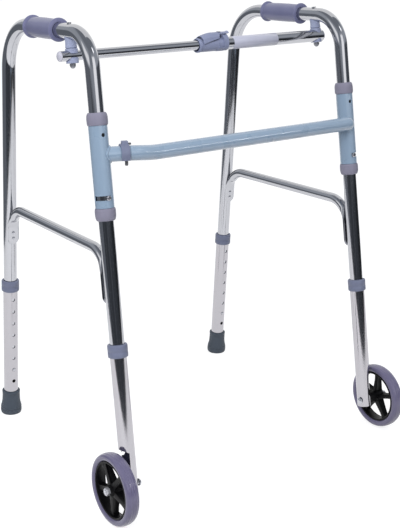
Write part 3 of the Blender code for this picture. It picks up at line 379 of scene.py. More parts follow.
bar_run = (bar_point("left") - bar_point("right")).normalized()
joint_reach = (-crossbar_joint - bar_point("right").x) / bar_run.x
bar_joint = bar_point("right") + bar_run * joint_reach + joint_shift
stub_root = bar_point("right") + Vector((0.0, crossbar_ahead["right"], stub_rise))
stub_run = (bar_joint - stub_root).normalized()
joint_axes = along(bar_joint, stub_run, (0.0, 1.0, 0.0))
left_tip = bar_point("left") - bar_run * crossbar_left_overhang
bar_ends = {"right": (stub_root, stub_run), "left": (bar_point("left"), bar_run)}


def hinge_sleeve(name):
    """The tube that turns on a front leg, with its outer edges broken."""
    leg = front_legs[name]
    bottom = up_leg(leg, sleeve_bottom)
    top = up_leg(leg, sleeve_top)
    return lathe([(sleeve_bore, bottom), (sleeve_radius - broken_edge, bottom),
                  (sleeve_radius, bottom + broken_edge), (sleeve_radius, top - broken_edge),
                  (sleeve_radius - broken_edge, top), (sleeve_bore, top)], leg, ring=True)


def shade_liner(name):
    """A thin near-black tube between sleeve and leg: painted shade seen through the sleeve's hole."""
    leg = front_legs[name]
    low, high = (up_leg(leg, height) for height in shade_liner_reach)
    inner = leg_radius + shade_liner_play
    outer = inner + shade_liner_wall
    return lathe([(inner, low), (outer, low), (outer, high), (inner, high)], leg, ring=True)


def weld_bead(name):
    """A raised ring of weld where the bar's round meets the sleeve's round."""
    leg = front_legs[name]
    centre, run = bar_ends[name]
    toward = run * (-1 if name == "left" else 1)
    inward = leg.to_3x3().inverted() @ toward
    across = along(centre, run, (0.0, 1.0, 0.0)).to_3x3()
    sections = []
    for step in range(weld_bead_steps):
        turn = math.pi + 2 * math.pi * step / weld_bead_steps
        spot = across @ Vector((math.cos(turn), math.sin(turn), 0.0)) * bar_radius
        start = leg.inverted() @ (centre + spot)
        reach = -start.xy.dot(inward.xy) / inward.xy.length_squared
        off = (start.xy + inward.xy * reach).length
        if off > sleeve_radius * weld_bead_limit:
            continue
        reach += math.sqrt(sleeve_radius * sleeve_radius - off * off) / inward.xy.length
        middle = leg @ (start + inward * reach)
        outward = (middle - centre - (middle - centre).dot(run) * run).normalized()
        offsets = [outward * math.cos(angle) + toward * math.sin(angle)
                   for angle in once_round(weld_bead_sides)]
        sections.append([middle + offset * weld_bead_radius[name] for offset in offsets])
    return loft(sections, closed=len(sections) == weld_bead_steps)


def stop_slot(name):
    """The curved window in a hinge sleeve in which the stop screw travels."""
    leg = front_legs[name]
    sign = sides[name]
    low = up_leg(leg, stop_slot_height) - stop_slot_width / 2
    high = up_leg(leg, stop_slot_height) + stop_slot_width / 2
    near, far = (leg_radius * share for share in stop_slot_cut)
    start = -math.pi / 2 - sign * stop_slot_spare_turn
    sections = []
    for step in range(stop_slot_steps + 1):
        turn = start + sign * (stop_slot_turn + 2 * stop_slot_spare_turn) * step / stop_slot_steps
        sections.append([polar(leg, radius, turn, height)
                         for radius, height in ((near, low), (near, high), (far, high), (far, low))])
    return loft(sections)


def bent_bar_line():
    """The long bar's centre line and its radius there: broken edge, bend, straight run and domed end."""
    straight = bar_point("right") + bar_run * (joint_reach + bend_length) + bend_shift
    run = (left_tip - straight).normalized()
    first = bar_joint + stub_run * bend_length * bend_pull
    second = straight - run * bend_length * bend_pull
    points = [bar_joint + stub_run * broken_edge, bar_joint + stub_run * (2 * broken_edge)]
    radii = [bar_radius - broken_edge, bar_radius]
    for step in range(2, bend_steps + 1):
        share = step / bend_steps
        rest = 1.0 - share
        points.append(bar_joint * rest ** 3 + first * 3 * rest ** 2 * share
                      + second * 3 * rest * share ** 2 + straight * share ** 3)
        radii.append(bar_radius)
    turns = [math.pi / 2 * step / bar_dome_steps for step in range(bar_dome_steps)]
    for radius, height in domed(bar_radius, -bar_radius, bar_radius, turns):
        points.append(left_tip + run * height)
        radii.append(radius)
    return points, radii


blue_enamel = mottled_finish("blue_powder_enamel", (141, 161, 183), (132, 153, 176), patch=25.0, grain=1400.0,
                             roughness=0.24, drift=0.08, bump=0.03, coat=0.8)
# Near-black painted shade for the inside of each sleeve, seen through its hole.
painted_shade_liner = mottled_finish("painted_shade_liner", (12, 12, 16), (6, 6, 9), patch=90.0, grain=1500.0,
                             roughness=0.5, drift=0.1, bump=0.05)
stub_line = ([stub_root, bar_joint - stub_run * broken_edge, bar_joint],
             [bar_radius, bar_radius, bar_radius - broken_edge])
for name, line, node in (("right", stub_line, "right_hinge_sleeve"), ("left", bent_bar_line(), "crossbar")):
    leg = front_legs[name]
    bar = as_piece("blue_bar_" + name, draw_tube(*line))
    drill(bar, leg, sleeve_bore, up_leg(leg, sleeve_bottom - sleeve_bore_spare),
          up_leg(leg, sleeve_top + sleeve_bore_spare), tube_sides)
    join(bar, hinge_sleeve(name))
    join(bar, weld_bead(name))
    cut(bar, stop_slot(name))
    facing = leg @ along((0.0, 0.0, up_leg(leg, sleeve_hole_height)), (0.0, -1.0, 0.0))
    drill(bar, facing, sleeve_hole_diameter / 2, leg_radius + 0.001, sleeve_diameter)
    dress(bar, blue_enamel, "crossbar_assembly", "blue_enamel", node)
    # Each sleeve gets a near-black tube inside it, as painted shade in its hole.
    liner = as_piece("shade_liner_" + name, shade_liner(name))
    dress(liner, painted_shade_liner, "crossbar_assembly", "black_plastic")


# Hinge bushes. Each sleeve is closed at both ends by a moulded bush with a rounded rim, pressed in,
# in which the front leg turns. They are mauve nylon with a soft shine.
bush_rim_height = 0.021
bush_rim_diameter = 0.0349
bush_play = 0.0005
bush_crown_inset = 0.0034
bush_crown_turns = (0.25, 0.5, 0.75, 1.0, 1.2, 1.35)
mauve_nylon = mottled_finish("mauve_nylon", (136, 134, 153), (126, 124, 143), patch=60.0, grain=1500.0,
                             roughness=0.42, drift=0.12, bump=0.10)
rim = bush_rim_diameter / 2
bore = leg_radius + bush_play
bush_profile = [(bore, clearance), (rim - 0.0013, clearance), (rim - 0.0008, 0.0006), (rim - 0.0003, 0.0022),
                (rim, bush_rim_height * 0.22), (rim, bush_rim_height * 0.50)]
bush_profile += [(rim - bush_crown_inset * (1 - math.cos(turn)),
                  bush_rim_height * (0.50 + 0.50 * math.sin(turn))) for turn in bush_crown_turns]
bush_profile += [(rim - bush_crown_inset - 0.0002, bush_rim_height), (bore, bush_rim_height)]
for name, leg in front_legs.items():
    for place, height, way in (("upper", sleeve_top, 1), ("lower", sleeve_bottom, -1)):
        seat = up_leg(leg, height)
        profile = [(radius, seat + way * offset) for radius, offset in bush_profile]
        bush = as_piece("hinge_bush_" + name + "_" + place, lathe(profile, leg, ring=True))
        dress(bush, mauve_nylon, "crossbar_assembly", "mauve_plastic", name + "_" + place + "_bush")


# Crossbar clip. A moulded saddle snaps over the joint of stub and bar, with a lug on its crown that
# holds a steel pin. The pin drops through both tubes and locks them to one another.
clip_width = 0.0145
clip_thickness = 0.0032
clip_leg_drop = 0.009
clip_arc_steps = 24
clip_edge = 0.0007
clip_lug = (0.010, 0.0105, 0.0045)
clip_lug_place = -0.0068
clip_lug_taper = 0.001
clip_lug_root = 0.002
clip_pin_diameter = 0.0056
clip_pin_below = 0.008
clip_pin_from_edge = 0.0036
clip_peg_diameter = 0.0036
clip_peg_reach = 0.0042
clip_peg_rise = 0.3
lilac_nylon = mottled_finish("lilac_nylon", (118, 124, 148), (107, 113, 138), patch=60.0, grain=1500.0,
                             roughness=0.36, drift=0.12, bump=0.10)
dark_steel = mottled_finish("blackened_steel", (128, 128, 132), (84, 84, 88), patch=300.0, grain=2400.0,
                            roughness=0.34, drift=0.16, bump=0.12, metallic=0.6)
plated_steel = mottled_finish("plated_steel", (205, 206, 212), (176, 178, 186), patch=260.0, grain=2400.0,
                              roughness=0.20, drift=0.16, bump=0.10, metallic=1.0)


def extrude_outline(outline, low, high, axes):
    """A plate or rib: an outline of (x, y) points carried between two heights of axes."""
    return loft([[axes @ Vector((x, y, height)) for x, y in outline] for height in (low, high)])


def box_outline(left, right, low, high):
    """A rectangle's four corners."""
    return [(left, low), (right, low), (right, high), (left, high)]


def soften(piece, width):
    """Rounds a moulding's sharp edges."""
    modifier = piece.modifiers.new("rounded_edges", "BEVEL")
    modifier.width = width
    modifier.segments = 3
    modifier.limit_method = "ANGLE"
    modifier.angle_limit = math.radians(32)
    modifier.harden_normals = False
    keep_result(piece)
    shade(piece, 38)


def clip_arc(reach):
    """One face of the saddle, from one leg's tip over the crown to the other's."""
    turns = [math.pi / 2 - math.pi * step / clip_arc_steps for step in range(clip_arc_steps + 1)]
    crown = [(reach * math.cos(turn), reach * math.sin(turn)) for turn in turns]
    return [(-clip_leg_drop, reach)] + crown + [(-clip_leg_drop, -reach)]


clip_inner = bar_radius + clearance
clip_outer = clip_inner + clip_thickness
quarter = Matrix.Rotation(math.pi / 2, 4, "Z")
clip = as_piece("joint_clip", extrude_outline(clip_arc(clip_outer) + clip_arc(clip_inner)[::-1],
                                              -clip_width, -clearance, joint_axes @ quarter))
lug_wide, lug_long, lug_tall = clip_lug
lug_outline = [(-lug_wide / 2, clip_outer - clip_lug_root), (lug_wide / 2, clip_outer - clip_lug_root),
               (lug_wide / 2 - clip_lug_taper, clip_outer + lug_tall),
               (-lug_wide / 2 + clip_lug_taper, clip_outer + lug_tall)]
join(clip, extrude_outline(lug_outline, clip_lug_place - lug_long / 2, clip_lug_place + lug_long / 2,
                           joint_axes))
soften(clip, clip_edge)
dress(clip, lilac_nylon, "crossbar_clip", "lilac_plastic", "crossbar_clip")
pin_axes = joint_axes @ along((0.0, 0.0, -clip_pin_from_edge), (0.0, 1.0, 0.0), (0.0, 0.0, 1.0))
shank = clip_pin_diameter / 2
pin_low = -bar_radius - clip_pin_below
pin_top = clip_outer + lug_tall * clip_peg_rise
profile = [(0.0, pin_low), (shank * 0.6, pin_low + 0.0001), (shank * 0.95, pin_low + 0.0006),
           (shank, pin_low + 0.0014), (shank, pin_top - 0.001), (shank * 0.7, pin_top), (0.0, pin_top)]
clip_pin = as_piece("joint_pin", lathe(profile, pin_axes, around=drill_sides))
peg = clip_peg_diameter / 2
peg_axes = pin_axes @ along((0.0, 0.0, pin_top - peg), pin_axes.to_3x3().inverted() @ stub_run)
peg_end = clip_pin_from_edge + clip_peg_reach
profile = [(peg, 0.0), (peg, peg_end - 0.0008), (peg * 0.8, peg_end - 0.0002), (0.0, peg_end)]
join(clip_pin, lathe(profile, peg_axes, around=drill_sides))
dress(clip_pin, dark_steel, "crossbar_clip", "zinc_steel", "crossbar_clip_pin")


# Side frames. One length of 25.4 mm aluminium tube is bent twice to make front leg, handle and rear
# leg. It is drawn smooth, polished bright and anodised, so it mirrors the studio in long streaks.
front_lean = 0.1772
rear_rake = 0.0556
leg_spread = 0.3578
pivot_height = 0.600
handle_height = 0.8071
handle_drop = 0.0475
frame_bend_radii = (0.0635, 0.090)
frame_bend_steps = 28
leg_end = {"front": 0.127, "rear": 0.0881}
dark_share = 0.93
metal_patch = 18.0
metal_grain = 2500.0
line_stretch = (1.0, 1.0, 0.03)
line_scale = 900.0
line_depth = 0.0001


def drawn_metal(name, colour, roughness, drift, scratch):
    """Drawn and polished metal tube: faint lengthwise lines and slow drifts of tone and gloss."""
    material, tree, shader = open_material(name)
    set_sockets(shader, {"Metallic": 1.0, "Coat Weight": 0.0})
    light = srgb(*colour)
    dark = tuple(value * dark_share for value in light[:3]) + (1.0,)
    mottle = add_mottle(tree, light, dark, metal_patch, metal_grain, roughness, drift)
    place = add_node(tree, "ShaderNodeTexCoord")
    squeeze = add_node(tree, "ShaderNodeMapping", {"Scale": line_stretch})
    lines = add_node(tree, "ShaderNodeTexNoise", {"Scale": line_scale, "Detail": 4.0})
    relief = add_node(tree, "ShaderNodeBump", {"Strength": scratch, "Distance": line_depth})
    wire(tree,
         (place, "Object", squeeze, "Vector"),
         (squeeze, "Vector", lines, "Vector"),
         (mottle, "Colour", shader, "Base Color"),
         (mottle, "Roughness", shader, "Roughness"),
         (lines, "Fac", relief, "Height"),
         (relief, "Normal", shader, "Normal"))
    return material


polished_tube = drawn_metal("polished_tube", (190, 191, 196), roughness=0.07, drift=0.06, scratch=0.05)


def in_plane(back, height):
    """A place in a side frame's plane: back behind the hinge axis's point at pivot height."""
    length = math.hypot(1.0, front_lean)
    rise = height - pivot_height
    return Vector((0.0, (back - front_lean * rise) / length, (back * front_lean + rise) / length))


def meet(point, direction, other, other_direction):
    """Where two lines of a plane cross."""
    span = other - point
    area = direction.x * other_direction.y - direction.y * other_direction.x
    return point + direction * ((span.x * other_direction.y - span.y * other_direction.x) / area)


def on_line(line, height):
    """Where a line of the frame's plane passes a height."""
    point, direction = line
    return point + direction * (height - point.y) / direction.y


def bent_line(corners, radii, steps):
    """A bent tube's centre line: (back, height) points, each with its share of the bend it lies in."""
    points = [(corners[0], None)]
    for before, corner, after, radius in zip(corners, corners[1:], corners[2:], radii):
        inward = (before - corner).normalized()
        outward = (after - corner).normalized()
        half = inward.angle(outward) / 2
        centre = corner + (inward + outward).normalized() * radius / math.sin(half)
        start = corner + inward * radius / math.tan(half) - centre
        turn = math.pi - 2 * half
        if inward.x * outward.y - inward.y * outward.x > 0:
            turn = -turn
        for step in range(steps + 1):
            share = step / steps
            points.append((centre + Matrix.Rotation(turn * share, 2) @ start, share))
    points.append((corners[-1], None))
    return points


def sweep(path, axes, size_at, around=tube_sides):
    """Draws a round or flattened section along a line of a frame's plane; size_at gives its half widths."""
    across = Vector((1.0, 0.0, 0.0))
    spots = [in_plane(point.x, point.y) for point, share in path]
    sections = []
    for index, spot in enumerate(spots):
        ahead = (spots[min(index + 1, len(spots) - 1)] - spots[max(index - 1, 0)]).normalized()
        normal = ahead.cross(across).normalized()
        wide, thick = size_at(index)
        sections.append([axes @ (spot + across * wide * math.cos(turn) + normal * thick * math.sin(turn))
                         for turn in once_round(around)])
    return loft(sections)


leg_line = (Vector((0.0, pivot_height)), Vector((front_lean, 1.0)).normalized())
handle_line = (Vector((0.0, handle_height)), Vector((1.0, -handle_drop)).normalized())
rear_line = (Vector((leg_spread, pivot_height)), Vector((-rear_rake, 1.0)).normalized())
frame_corners = [on_line(leg_line, leg_end["front"]), meet(*leg_line, *handle_line),
                 meet(*rear_line, *handle_line), on_line(rear_line, leg_end["rear"])]
frame_path = bent_line(frame_corners, frame_bend_radii, frame_bend_steps)
for name in sides:
    tube = as_piece("frame_tube_" + name,
                    sweep(frame_path, hinge_axes[name], lambda index: (leg_radius, leg_radius)))
    dress(tube, polished_tube, name + "_frame", "polished_tube", name + "_side_frame")


# Side braces. A thinner tube ties the two legs of each frame. Its ends turn down, are pressed flat in
# a tool with a rounded tip, and are riveted to the legs' inner faces with two steel rivets each.
brace_diameter = 0.019
brace_heights = (0.4535, 0.4425)
brace_bend_radius = 0.047
brace_bend_steps = 24
brace_sides = 32
brace_end_height = 0.370
brace_flat_width = 0.0248
brace_flat_thickness = 0.0028
brace_round_from = 0.42
brace_tip_steps = 8
brace_tip_least = 0.12
rivet_diameter = 0.0064
rivet_head_height = 0.0019
rivet_spacing = 0.011
rivet_from_end = 0.0125
rivet_sink = 0.45
row_inputs = {"Count": "Int", "First": "Vector", "Step": "Vector", "Turn": "Rotation", "Radius": "Float"}


def open_tree(name, inputs):
    """A geometry tree with its named inputs. Returns it with its two ends and the inputs' identifiers."""
    tree = bpy.data.node_groups.new(name, "GeometryNodeTree")
    tree.interface.new_socket("Geometry", in_out="OUTPUT", socket_type="NodeSocketGeometry")
    identifiers = {}
    for label, kind in inputs.items():
        socket = tree.interface.new_socket(label, in_out="INPUT", socket_type="NodeSocket" + kind)
        identifiers[label] = socket.identifier
    return tree, identifiers, add_node(tree, "NodeGroupInput"), add_node(tree, "NodeGroupOutput")


def close_tree(tree, last, output, wanted, material):
    """Ends a geometry tree: real faces, shaded smooth, in one material."""
    solid = add_node(tree, "GeometryNodeRealizeInstances")
    smooth = add_node(tree, "GeometryNodeSetShadeSmooth")
    coat = add_node(tree, "GeometryNodeSetMaterial", {"Material": material})
    wire(tree,
         (last, output, solid, "Geometry"),
         (solid, "Geometry", smooth, "Geometry"),
         (smooth, "Geometry", coat, "Geometry"),
         (coat, "Geometry", wanted, "Geometry"))


def add_row(tree, given, single, output):
    """One shape repeated along a step, by the tree's row inputs."""
    row = add_node(tree, "GeometryNodeMeshLine", mode="OFFSET")
    copies = add_node(tree, "GeometryNodeInstanceOnPoints")
    wire(tree,
         (given, "Count", row, "Count"),
         (given, "First", row, "Start Location"),
         (given, "Step", row, "Offset"),
         (row, "Mesh", copies, "Points"),
         (single, output, copies, "Instance"),
         (given, "Turn", copies, "Rotation"))
    return copies


def make_rivet_tree(material):
    """Rivet heads in a row: a mushroom head repeated along a step."""
    tree, identifiers, given, wanted = open_tree("row_of_rivets", {**row_inputs, "Rise": "Float"})
    ball = add_node(tree, "GeometryNodeMeshUVSphere", {"Segments": 20, "Rings": 12, "Radius": 1.0})
    size = add_node(tree, "ShaderNodeCombineXYZ")
    squash = add_node(tree, "GeometryNodeTransform")
    wire(tree,
         (given, "Radius", size, "X"),
         (given, "Radius", size, "Y"),
         (given, "Rise", size, "Z"),
         (ball, "Mesh", squash, "Geometry"),
         (size, "Vector", squash, "Scale"))
    close_tree(tree, add_row(tree, given, squash, "Geometry"), "Instances", wanted, material)
    return tree, identifiers


def grow(name, recipe, values, start=None):
    """Runs a geometry tree with its named sizes and keeps the result as a plain piece."""
    piece = start or bpy.data.objects.new(name, bpy.data.meshes.new(name))
    if start is None:
        bpy.context.scene.collection.objects.link(piece)
    tree, identifiers = recipe
    modifier = piece.modifiers.new(name, "NODES")
    modifier.node_group = tree
    for label, value in values.items():
        modifier[identifiers[label]] = value
    keep_result(piece)
    return piece


rivet_recipe = make_rivet_tree(plated_steel)
stand_off = leg_radius + clearance + brace_flat_thickness / 2
front_normal = Vector((leg_line[1].y, -leg_line[1].x))
rear_normal = Vector((-rear_line[1].y, rear_line[1].x))
front_foot = on_line(leg_line, brace_end_height) + front_normal * stand_off
rear_foot = on_line(rear_line, brace_end_height) + rear_normal * stand_off
run_start = Vector((0.0, brace_heights[0]))
run = Vector((leg_spread, brace_heights[1])) - run_start
brace_corners = [front_foot, meet(front_foot, leg_line[1], run_start, run),
                 meet(rear_foot, rear_line[1], run_start, run), rear_foot]
brace_ends = (("front", front_foot, leg_line[1], front_normal),
              ("rear", rear_foot, rear_line[1], rear_normal))
tip_radius = brace_flat_width / 2
tips = [tip_radius * (1 - math.cos(math.pi / 2 * step / brace_tip_steps))
        for step in range(1, brace_tip_steps + 1)]
brace_path = bent_line(brace_corners, [brace_bend_radius, brace_bend_radius], brace_bend_steps)
brace_path = (brace_path[:1] + [(front_foot + leg_line[1] * reach, None) for reach in tips] + brace_path[1:-1]
              + [(rear_foot + rear_line[1] * reach, None) for reach in reversed(tips)] + brace_path[-1:])
in_bends = [index for index, (point, share) in enumerate(brace_path) if share is not None]


def brace_size(index):
    """The brace's half widths: flat at its ends with a rounded tip, and round from within the bends on."""
    share = brace_path[index][1]
    if share is not None and index >= in_bends[len(in_bends) // 2]:
        share = 1.0 - share
    roundness = min(share / brace_round_from, 1.0) ** 2 if share is not None else 0.0
    wide = brace_flat_width / 2 + (brace_diameter - brace_flat_width) / 2 * roundness
    thick = brace_flat_thickness / 2 + (brace_diameter - brace_flat_thickness) / 2 * roundness
    from_end = min(index, len(brace_path) - 1 - index)
    if from_end <= len(tips):
        reach = 0.0 if from_end == 0 else tips[from_end - 1]
        wide *= max(math.sqrt(max(1.0 - (1.0 - reach / tip_radius) ** 2, 0.0)), brace_tip_least)
    return wide, thick


for name, axes in hinge_axes.items():
    brace = as_piece("side_brace_" + name, sweep(brace_path, axes, brace_size, brace_sides))
    dress(brace, polished_tube, name + "_frame", "polished_tube", name + "_side_brace")
    for end, foot, direction, normal in brace_ends:
        first = foot + direction * rivet_from_end + normal * brace_flat_thickness * rivet_sink
        second = first + direction * rivet_spacing
        over = first + normal
        start = axes @ in_plane(first.x, first.y)
        step = axes @ in_plane(second.x, second.y) - start
        facing = axes @ in_plane(over.x, over.y) - start
        rivets = grow("rivets_" + name + "_" + end, rivet_recipe,
                      {"Count": 2, "First": start, "Step": step, "Turn": along(start, facing).to_euler(),
                       "Radius": rivet_diameter / 2, "Rise": rivet_head_height})
        dress(rivets, plated_steel, name + "_frame", "zinc_steel")


# Hand grips. A sleeve of soft moulded vinyl is blown on to each handle, with a flange at both ends, a
# slim waist beside each flange and a full barrel between them.
grip_start = 0.1427
grip_end = 0.2465
grip_diameter = 0.0355
grip_neck_diameter = 0.0335
grip_flange_diameter = 0.040
grip_flange_thickness = 0.0045
grip_play = 0.0004
plum_vinyl = mottled_finish("plum_vinyl", (116, 118, 150), (102, 104, 138), patch=45.0, grain=700.0,
                            roughness=0.36, drift=0.14, bump=0.35, coat=0.35)
half = (grip_end - grip_start) / 2
flange = grip_flange_diameter / 2
waist = grip_neck_diameter / 2
barrel = grip_diameter / 2
inner_face = half - grip_flange_thickness
# Radius and height from one end's rounded flange over its waist to the barrel.
half_profile = [(leg_radius + grip_play, half), (flange - 0.0016, half), (flange - 0.0004, half - 0.0006),
                (flange, half - 0.0016), (flange, inner_face + 0.0014),
                (flange - 0.0005, inner_face + 0.0005), (flange - 0.0016, inner_face),
                (waist + 0.0006, inner_face - 0.0002), (waist, inner_face - 0.001),
                (waist + 0.0001, inner_face - 0.004), (waist + (barrel - waist) * 0.6, half * 0.72),
                (barrel - 0.0003, half * 0.5), (barrel, half * 0.25)]
grip_profile = [(radius, -height) for radius, height in half_profile] + half_profile[::-1]
grip_middle = meet(Vector(((grip_start + grip_end) / 2, 0.0)), Vector((0.0, 1.0)), *handle_line)
further = grip_middle + handle_line[1]
for name, axes in hinge_axes.items():
    origin = axes @ in_plane(grip_middle.x, grip_middle.y)
    grip_axes = along(origin, axes @ in_plane(further.x, further.y) - origin)
    grip = as_piece("hand_grip_" + name, lathe(grip_profile, grip_axes, ring=True), 50)
    dress(grip, plum_vinyl, name + "_frame", "plum_vinyl", name + "_grip")


# Stop screws. A pan-head screw in each front leg stands through its sleeve's slot, holds the sleeve at
# its height on the leg and stops the frame when it is open. It is plated, with a cross recess.
screw_sides = 28
stop_screw_diameter = 0.0052
stop_screw_head_diameter = 0.0088
stop_screw_proud = 0.0021
recess_width = 0.0012
recess_length = 0.0052
recess_depth = 0.0011


def sink_cross(screw, centre):
    """Sinks a cross recess in a screw's head, at its top."""
    outline = box_outline(-recess_length / 2, recess_length / 2, -recess_width / 2, recess_width / 2)
    for turn in (0.0, math.pi / 2):
        turned = centre @ Matrix.Rotation(turn, 4, "Z")
        cut(screw, extrude_outline(outline, -recess_depth, recess_depth, turned))


shank = stop_screw_diameter / 2
head = stop_screw_head_diameter / 2
screw_top = sleeve_radius + stop_screw_proud
shoulder = sleeve_radius + clearance
screw_profile = [(shank, leg_diameter / 4), (shank, shoulder), (head, shoulder), (head, shoulder + 0.0006),
                 (head * 0.90, screw_top - 0.0005), (head * 0.70, screw_top - 0.0001),
                 (head * 0.4, screw_top), (0.0, screw_top + 0.0001)]
screw_place = on_line(leg_line, stop_slot_height)
for name, axes in hinge_axes.items():
    seat = axes @ along(in_plane(screw_place.x, screw_place.y), (0.0, -1.0, 0.0))
    screw = as_piece("stop_screw_head_" + name, lathe(screw_profile, seat, around=screw_sides))
    sink_cross(screw, seat @ Matrix.Translation((0.0, 0.0, screw_top)))
    dress(screw, plated_steel, name + "_frame", "zinc_steel", name + "_stop_screw")


# Leg extensions. A 28.6 mm aluminium tube slides outside each leg, with a row of holes at 25.4 mm
# pitch for the snap button. They are anodised satin outside; inside, a dark blue-grey painted shade
# stands for the shade in the bore. The front ones are cut away beside the wheels.
extension_diameter = 0.0286
extension_wall = 0.0011
hole_pitch = 0.0254
hole_diameter = 0.0072
button_heights = {"front": 0.139, "rear": 0.1001}
extension_ends = {"front": (0.050, 0.301), "rear": (0.009, 0.287)}
hole_counts = {"front": 7, "rear": 8}
outward_signs = {"front": 1.0, "rear": -1.0}
cutaway_plane = 0.003
cutaway_top = 0.128
cutaway_slant = 0.008
cutaway_reach = 1.3
axle_hole_diameter = 0.0085
axle_drill_length = 0.08
bore_margin = 0.0002
satin_tube = drawn_metal("satin_tube", (187, 185, 190), roughness=0.08, drift=0.05, scratch=0.05)
# Dark blue-grey painted shade for the inside of each extension and for the fork plugs seen through the cut-aways.
painted_shade_bore = mottled_finish("painted_shade_bore", (52, 54, 76), (34, 35, 52), patch=120.0, grain=1500.0,
                          roughness=0.45, drift=0.12, bump=0.10)
rear_legs = {}
for name in sides:
    tread = Vector(mounts[name + "_foot_tread"]["pos_m"])
    upward = -Vector(joints[name + "_rear_leg_extend"]["axis"])
    rear_legs[name] = along(tread, upward, hinge_axes[name].to_3x3().col[0])
leg_axes = {"front": front_legs, "rear": rear_legs}


def make_drilled_tube_tree(material):
    """A tube drilled with a row of equal holes at a fixed step."""
    inputs = {"Tube": "Geometry", **row_inputs, "Depth": "Float"}
    tree, identifiers, given, wanted = open_tree("drilled_tube", inputs)
    bit = add_node(tree, "GeometryNodeMeshCylinder", {"Vertices": drill_sides})
    solid = add_node(tree, "GeometryNodeRealizeInstances")
    bored = add_node(tree, "GeometryNodeMeshBoolean", operation="DIFFERENCE")
    wire(tree,
         (given, "Radius", bit, "Radius"),
         (given, "Depth", bit, "Depth"),
         (add_row(tree, given, bit, "Mesh"), "Instances", solid, "Geometry"),
         (given, "Tube", bored, "Mesh 1"),
         (solid, "Geometry", bored, "Mesh 2"))
    close_tree(tree, bored, "Mesh", wanted, material)
    return tree, identifiers


def cut_beside_wheel(piece, name, low, inner_top, outer_top, reach):
    """Cuts away the wheel's side of a front tube or of its plug, up to a slanted or level top."""
    inner = sides[name] * cutaway_plane
    outer = sides[name] * reach
    outline = [(inner, low), (inner, inner_top), (outer, outer_top), (outer, low)]
    upright = front_legs[name] @ Matrix.Rotation(math.pi / 2, 4, "X")
    cut(piece, extrude_outline(outline, -reach, reach, upright))


drilled_recipe = make_drilled_tube_tree(satin_tube)
outer = extension_diameter / 2
inner = outer - extension_wall
for name in sides:
    for kind, (low, high) in extension_ends.items():
        leg = leg_axes[kind][name]
        facing = Vector((0.0, outward_signs[kind], 0.0))
        bottom = up_leg(leg, low)
        top = up_leg(leg, high)
        profile = [(inner, bottom), (outer - broken_edge, bottom), (outer, bottom + broken_edge),
                   (outer, top), (inner, top)]
        label = "leg_extension_" + name + "_" + kind
        lowest_hole = up_leg(leg, button_heights[kind] - hole_pitch)
        first = leg @ (Vector((0.0, 0.0, lowest_hole)) + facing * outer)
        tube = grow(label, drilled_recipe,
                    {"Count": hole_counts[kind], "First": first,
                     "Step": leg.to_3x3() @ Vector((0.0, 0.0, hole_pitch)),
                     "Turn": along(first, leg.to_3x3() @ facing).to_euler(), "Radius": hole_diameter / 2,
                     "Depth": outer}, start=as_piece(label, lathe(profile, leg, ring=True)))
        if kind == "front":
            reach = outer * cutaway_reach
            slanted = up_leg(leg, cutaway_top)
            cut_beside_wheel(tube, name, bottom - reach, slanted - cutaway_slant, slanted, reach)
            spin = joints[name + "_wheel_spin"]
            drill(tube, along(spin["pos_m"], spin["axis"]), axle_hole_diameter / 2, -axle_drill_length, 0.0)
        shade(tube)
        dress(tube, satin_tube, name + "_" + kind + "_leg", "satin_tube", name + "_" + kind + "_extension")
        # The bore's faces take the painted shade.
        tube.data.materials.append(painted_shade_bore)
        to_leg = leg.inverted()
        for face in tube.data.polygons:
            face.material_index = 1 if (to_leg @ face.center).xy.length < inner + bore_margin else 0


# Leg collars. A moulded ring caps the upper end of each extension, guides the leg through it and takes
# up the rattle. It has a rounded lip, a shallow groove and is the same lilac nylon as the clip.
collar_tops = {"front": 0.305, "rear": 0.291}
collar_height = 0.0225
collar_diameter = 0.0344
collar_guide_play = 0.0004
collar_seat_play = 0.0002
collar_cap = 0.004
collar_groove = 0.0003


def collar_profile(top):
    """Radius and height round a collar's wall: lower edge, groove, lip, guide and seat."""
    outer = collar_diameter / 2
    grooved = outer - collar_groove
    guide = leg_radius + collar_guide_play
    seat = extension_diameter / 2 + collar_seat_play
    low = top - collar_height
    return [(seat, low), (outer - 0.0014, low), (outer - 0.0004, low + 0.0006), (outer, low + 0.0016),
            (outer, low + collar_height * 0.40), (grooved, low + collar_height * 0.42),
            (grooved, low + collar_height * 0.46), (outer, low + collar_height * 0.48),
            (outer, top - 0.0026), (outer - 0.0006, top - 0.0010), (outer - 0.0020, top - 0.0001),
            (guide + 0.0006, top), (guide, top - 0.0006), (guide, top - collar_cap), (seat, top - collar_cap)]


for name in sides:
    for kind, height in collar_tops.items():
        leg = leg_axes[kind][name]
        collar = as_piece("leg_collar_" + name + "_" + kind,
                          lathe(collar_profile(up_leg(leg, height)), leg, ring=True))
        dress(collar, lilac_nylon, name + "_" + kind + "_leg", "lilac_plastic", name + "_" + kind + "_collar")


# Snap buttons. A domed steel pin on a leaf spring inside each leg stands through one hole of the
# extension. The thumb presses it in to set the height.
button_diameter = 0.0066
button_proud = 0.0015
button_root = 0.0025
button_flatness = 0.55
button_turns = (0.25, 0.5, 0.75, 1.0, 1.25)
radius = button_diameter / 2
tip = extension_diameter / 2 + button_proud
button_rise = radius * button_flatness
button_profile = [(radius, leg_radius - button_root), (radius, tip - button_rise)]
button_profile += domed(radius, tip - button_rise, button_rise, button_turns)
button_profile.append((0.0, tip))
for name in sides:
    for kind, height in button_heights.items():
        leg = leg_axes[kind][name]
        seat = leg @ along((0.0, 0.0, up_leg(leg, height)), (0.0, outward_signs[kind], 0.0))
        button = as_piece("snap_button_" + name + "_" + kind, lathe(button_profile, seat, around=screw_sides))
        dress(button, plated_steel, name + "_" + kind + "_snap", "zinc_steel")
        paint(frame["nodes"][name + "_" + kind + "_button"], plated_steel)


